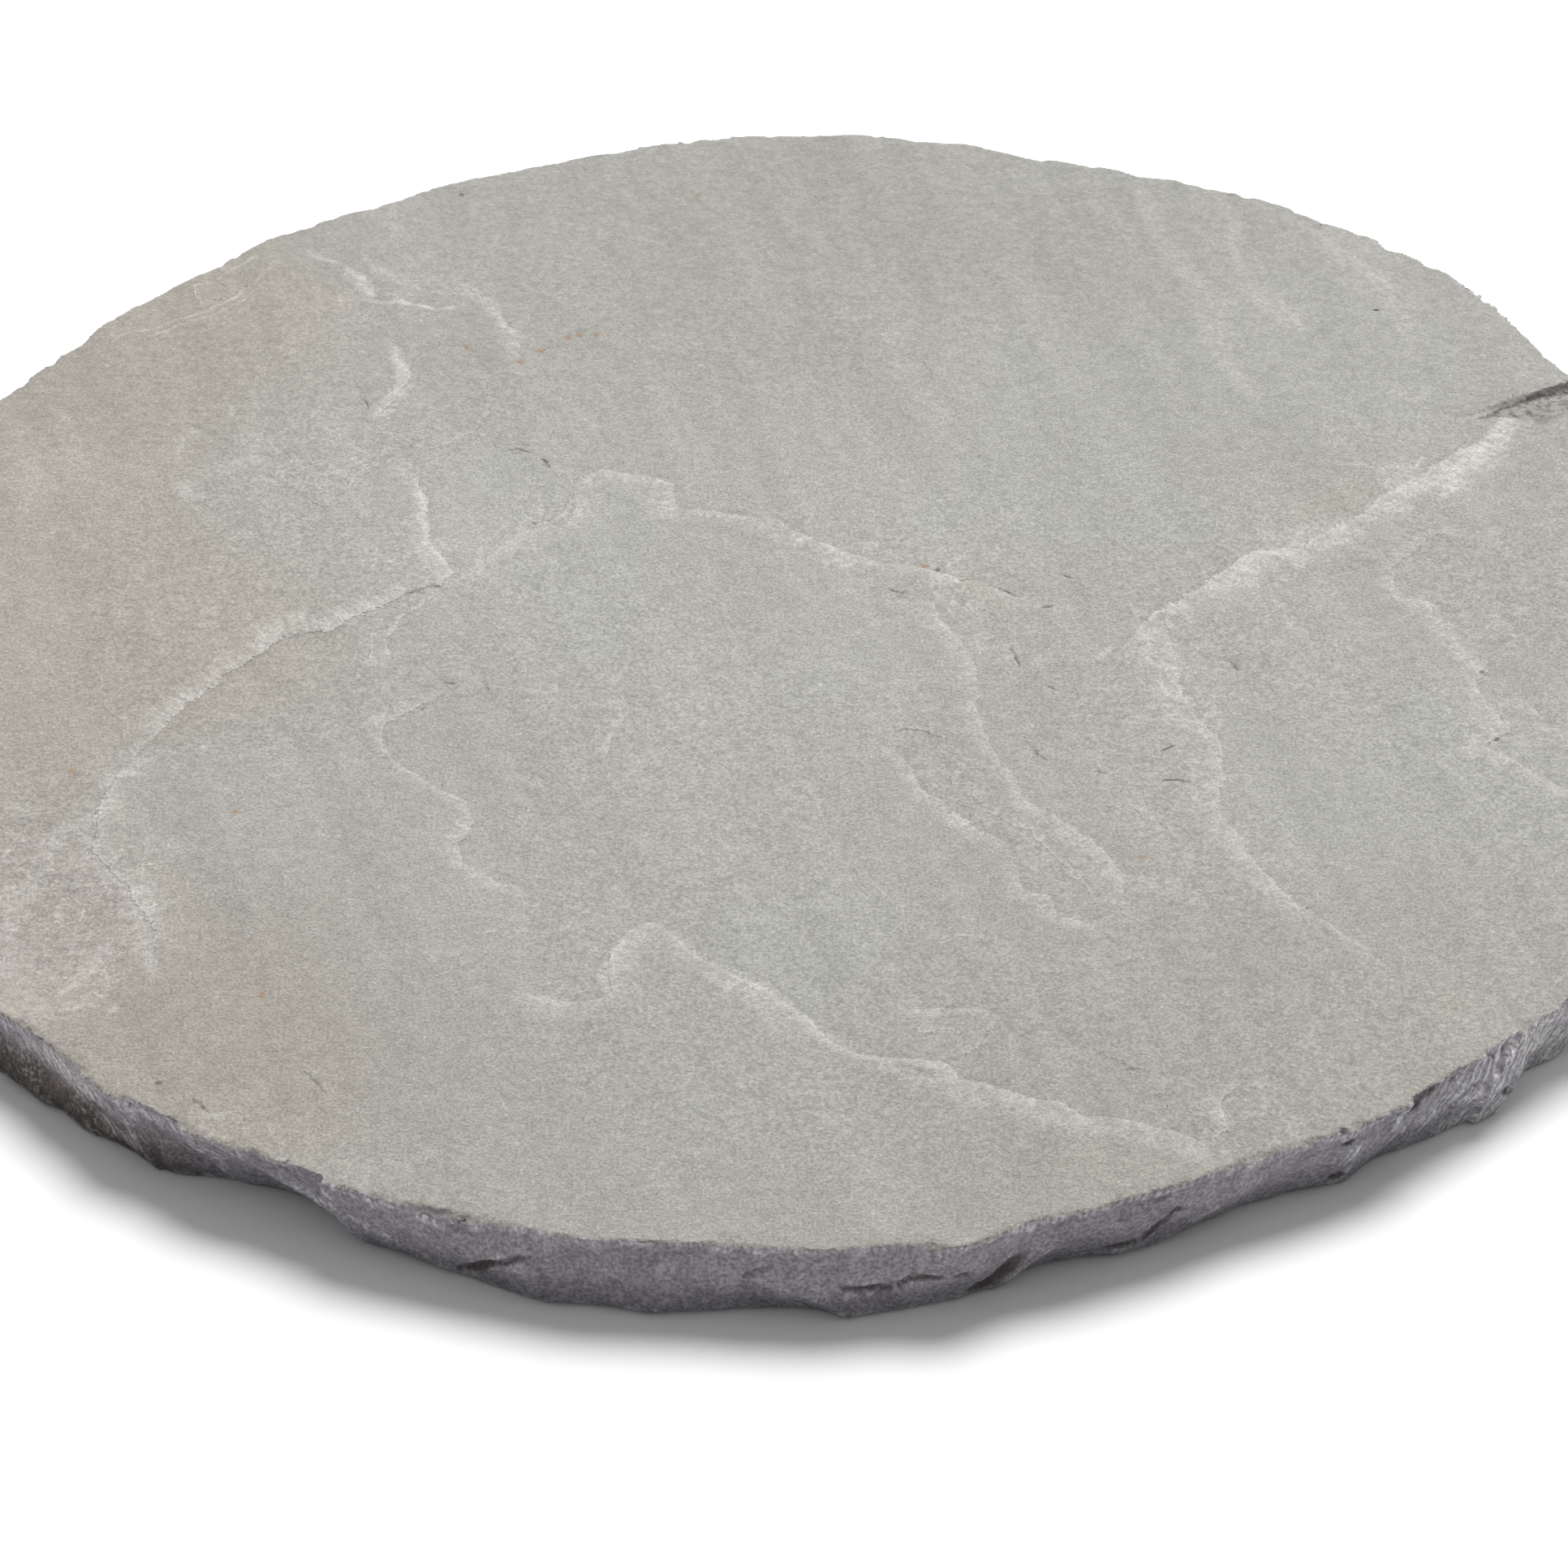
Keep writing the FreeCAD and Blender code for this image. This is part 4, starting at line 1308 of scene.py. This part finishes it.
# %% Pale broken lips
stretched = maths("MULTIPLY", mark("lip"), 0.0012)
across = add("ShaderNodeCombineXYZ", [(0, mark("reach")), (1, stretched)]).outputs[0]
fibre = ramp(noise(across, 1.3, 4.0), 0.36, 0.64, 0.3, 1.0)
ragged = maths("ADD", mark("lip"), ramp(noise(place, 1.3, 3.0), 0.2, 0.8, -0.06, 0.06))
crisp = ramp(ragged, -0.015, 0.03)
body = ramp(ragged, 0.15, 1.0, 1.0, 0.0)
edge = ramp(ragged, 0.0, 0.2, 0.3, 0.0)
patches = ramp(noise(place, 10.0, 3.0), 0.38, 0.62, 0.55, 1.25)
band = product(crisp, maths("ADD", edge, maths("MULTIPLY", body, fibre)), mark("pale"), patches)
face_colour = mix(band, face_colour, srgb(208, 205, 198))
lip_step = product(crisp, mark("pale"), ramp(ragged, 0.3, 1.2, 1.0, 0.0))
flecked = ramp(noise(place, 1.1, 3.0), 0.4, 0.6, 0.4, 1.0)
frost = product(mark("frost"), flecked, ramp(fibre, 0.3, 1.0, 0.7, 1.0))
face_colour = mix(frost, face_colour, srgb(221, 219, 213))

# %% Faint edges of thinner layers
layers = maths("MULTIPLY", noise(place, 26.0, 4.0), 14.0)
through = maths("FRACT", layers, 0.0)
patchy = maths("ADD", mark("broken"), ramp(noise(place, 60.0, 2.0), 0.5, 0.7, 0.0, 0.4))
fringe = product(ramp(through, 0.0, 0.03), ramp(through, 0.03, 0.3, 1.0, 0.0), patchy)
fringe = maths("MULTIPLY", fringe, ramp(noise(place, 7.0, 3.0), 0.42, 0.58))
face_colour = mix(maths("MULTIPLY", fringe, 0.5), face_colour, srgb(210, 207, 200))
veined = maths("ABSOLUTE", maths("SUBTRACT", noise(place, 6.0, 4.0), 0.5), 0.0)
veins = product(ramp(veined, 0.004, 0.03, 1.0, 0.0), ramp(noise(place, 4.0, 2.0), 0.4, 0.6))
veins = maths("MULTIPLY", veins, maths("MAXIMUM", mark("scoop"), maths("MULTIPLY", mark("broken"), 0.5)))
face_colour = mix(maths("MULTIPLY", veins, 0.8), face_colour, srgb(216, 212, 204))

# %% Quartz grains and scuffs
cells = add("ShaderNodeTexVoronoi", [("Vector", place), ("Scale", 1000 / 0.9)])
chance = add("ShaderNodeSeparateColor", [("Color", cells.outputs["Color"])]).outputs[0]
sparkle = product(ramp(chance, 0.955, 0.97), ramp(cells.outputs["Distance"], 0.2, 0.5, 1.0, 0.0))
face_colour = mix(maths("MULTIPLY", sparkle, 0.4), face_colour, srgb(222, 221, 216))
scuff = product(ramp(noise(place, 16.0, 4.0), 0.52, 0.68), ramp(noise(place, 1.6, 3.0), 0.5, 0.66))
face_colour = mix(maths("MULTIPLY", scuff, 0.3), face_colour, srgb(204, 203, 198))
crust = product(mark("scoop"), ramp(noise(place, 2.2, 4.0), 0.44, 0.62, 0.1, 0.5))
face_colour = mix(crust, face_colour, srgb(206, 201, 194))
rubble = ramp(noise(place, 2.2, 4.0), 0.36, 0.56)
stony = mix(rubble, srgb(118, 115, 111), srgb(172, 169, 165))
face_colour = mix(maths("MULTIPLY", mark("pocket"), 0.85), face_colour, stony)

# %% Colour of the rim
drawn_out = maths("MULTIPLY", axes[2], 0.15)
leaning = [(0, mark("lean_x")), (1, mark("lean_y")), (2, drawn_out)]
leaning = add("ShaderNodeCombineXYZ", leaning).outputs[0]
rim_colour = mix(ramp(noise(place, 30.0, 3.0), 0.35, 0.65), srgb(171, 167, 175), srgb(182, 178, 185))
speckle = product(ramp(noise(place, 1.1, 4.0), 0.5, 0.62), ramp(noise(place, 9.0, 2.0), 0.4, 0.6))
soil = mix(speckle, srgb(116, 104, 99), srgb(204, 194, 180))
rim_colour = mix(maths("MULTIPLY", mark("soil"), 0.8), rim_colour, soil)
fibrous = ramp(noise(leaning, 1.0, 4.0), 0.4, 0.6)
# The right end of the rim is painted paler all over. This is partly paler stone and partly painted light
# falling on it from the right.
right_end = ramp(axes[0], 0.12, 0.16, 0.0, 0.95)
sharp = ramp(mark("worn"), 0.06, 0.22, 0.0, 0.6)
# Chalky arrises, the traced chalky strokes and the paler right end are mixed towards near white. The right
# end's paleness is partly painted light.
chalk = maths("MAXIMUM", maths("MAXIMUM", sharp, mark("chalk")), right_end)
chalk = maths("MULTIPLY", chalk, ramp(fibrous, 0.0, 1.0, 0.15, 1.0))
rim_colour = mix(chalk, rim_colour, srgb(246, 243, 245))
rim_tone = ramp(mark("tone"), 0.0, 1.0, 1.06, 0.94)
rim_mottle = ramp(noise(place, 4.0, 5.0), 0.3, 0.7, 0.88, 1.15)
rim_grain = ramp(noise(place, 0.9, 3.0), 0.28, 0.72, 0.7, 1.38)
# The rim's shade includes the painted shade towards its foot.
rim_shade = product(rim_tone, rim_mottle, rim_grain, maths("SUBTRACT", 1.0, mark("damp")))

# %% Face and rim together
colour = mix(mark("rim"), shaded(face_colour, shade), shaded(rim_colour, rim_shade))
colour = mix(maths("MULTIPLY", mark("rust"), 0.5), colour, srgb(172, 130, 84))
# Painted shadow in the cracks and crevices, and the stone's own dark specks.
colour = mix(maths("MULTIPLY", mark("dark"), 0.85), colour, srgb(66, 60, 54))
tree.links.new(colour, shader.inputs["Base Color"])
shader.inputs["Roughness"].default_value = 0.88
shader.inputs["Specular IOR Level"].default_value = 0.25

# %% Relief too fine for the mesh
sand = maths("MULTIPLY", noise(place, 0.8, 3.0), 0.0003)
pit = maths("SUBTRACT", noise(place, 3.5, 4.0), 0.5)
pits = maths("MULTIPLY", pit, ramp(mark("rim"), 0.0, 1.0, 0.0005, 0.0023))
fibres = product(maths("SUBTRACT", noise(leaning, 2.2, 3.0), 0.5), mark("rim"), 0.0014)
steps = maths("MULTIPLY", lip_step, 0.0002)
height = maths("ADD", maths("ADD", sand, pits), maths("ADD", steps, fibres))
bump = add("ShaderNodeBump", [("Height", height), ("Strength", 1.0), ("Distance", 1.0)])
tree.links.new(bump.outputs["Normal"], shader.inputs["Normal"])

stone.data.materials.clear()
stone.data.materials.append(material)
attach(stone, "root")
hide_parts("stepping_stone")
print("material has", len(tree.nodes), "nodes")

# %% [markdown]
# ## Floor and light
# The stone lies on a white floor under one broad soft light, high behind it and a little to the
# right, with an even fill from all round. The floor looks white but keeps the stone's shadow.

# %% Floor
bpy.ops.object.select_all(action="DESELECT")
bpy.ops.mesh.primitive_plane_add(size=30, location=(0, 0, low[2] - 0.0002))
floor = bpy.context.object
floor.name = "floor"
paper = bpy.data.materials.new("white_paper")
paper.use_nodes = True
tree = paper.node_tree
tree.nodes.clear()
seen = add("ShaderNodeLightPath").outputs["Is Camera Ray"]
lit = add("ShaderNodeBsdfDiffuse", [("Color", (0.6, 0.6, 0.6, 1))]).outputs[0]
bright = add("ShaderNodeBsdfDiffuse", [("Color", (1.1, 1.1, 1.1, 1))]).outputs[0]
surface = add("ShaderNodeMixShader", [(0, seen), (1, lit), (2, bright)]).outputs[0]
add("ShaderNodeOutputMaterial", [("Surface", surface)])
floor.data.materials.append(paper)

# %% Light
key_level = 0.7
fill_level = 0.3
light_elevation = math.radians(60)
light_turn = math.radians(20)
bpy.ops.object.light_add(
    type="SUN",
    location=(0.3, 1, 1.5),
    rotation=(light_elevation - math.pi / 2, 0, -light_turn),
)
key = bpy.context.object
key.data.energy = key_level * math.pi / math.sin(light_elevation)
key.data.angle = math.radians(34)

world = bpy.data.worlds.new("studio")
bpy.context.scene.world = world
world.use_nodes = True
tree = world.node_tree
tree.nodes.clear()
seen = add("ShaderNodeLightPath").outputs["Is Camera Ray"]
fill = add("ShaderNodeBackground", [("Color", (1, 1, 1, 1)), ("Strength", fill_level)]).outputs[0]
white = add("ShaderNodeBackground", [("Color", (1, 1, 1, 1)), ("Strength", 1.0)]).outputs[0]
sky = add("ShaderNodeMixShader", [(0, seen), (1, fill), (2, white)]).outputs[0]
add("ShaderNodeOutputWorld", [("Surface", sky)])
bpy.context.scene.view_settings.view_transform = "Standard"
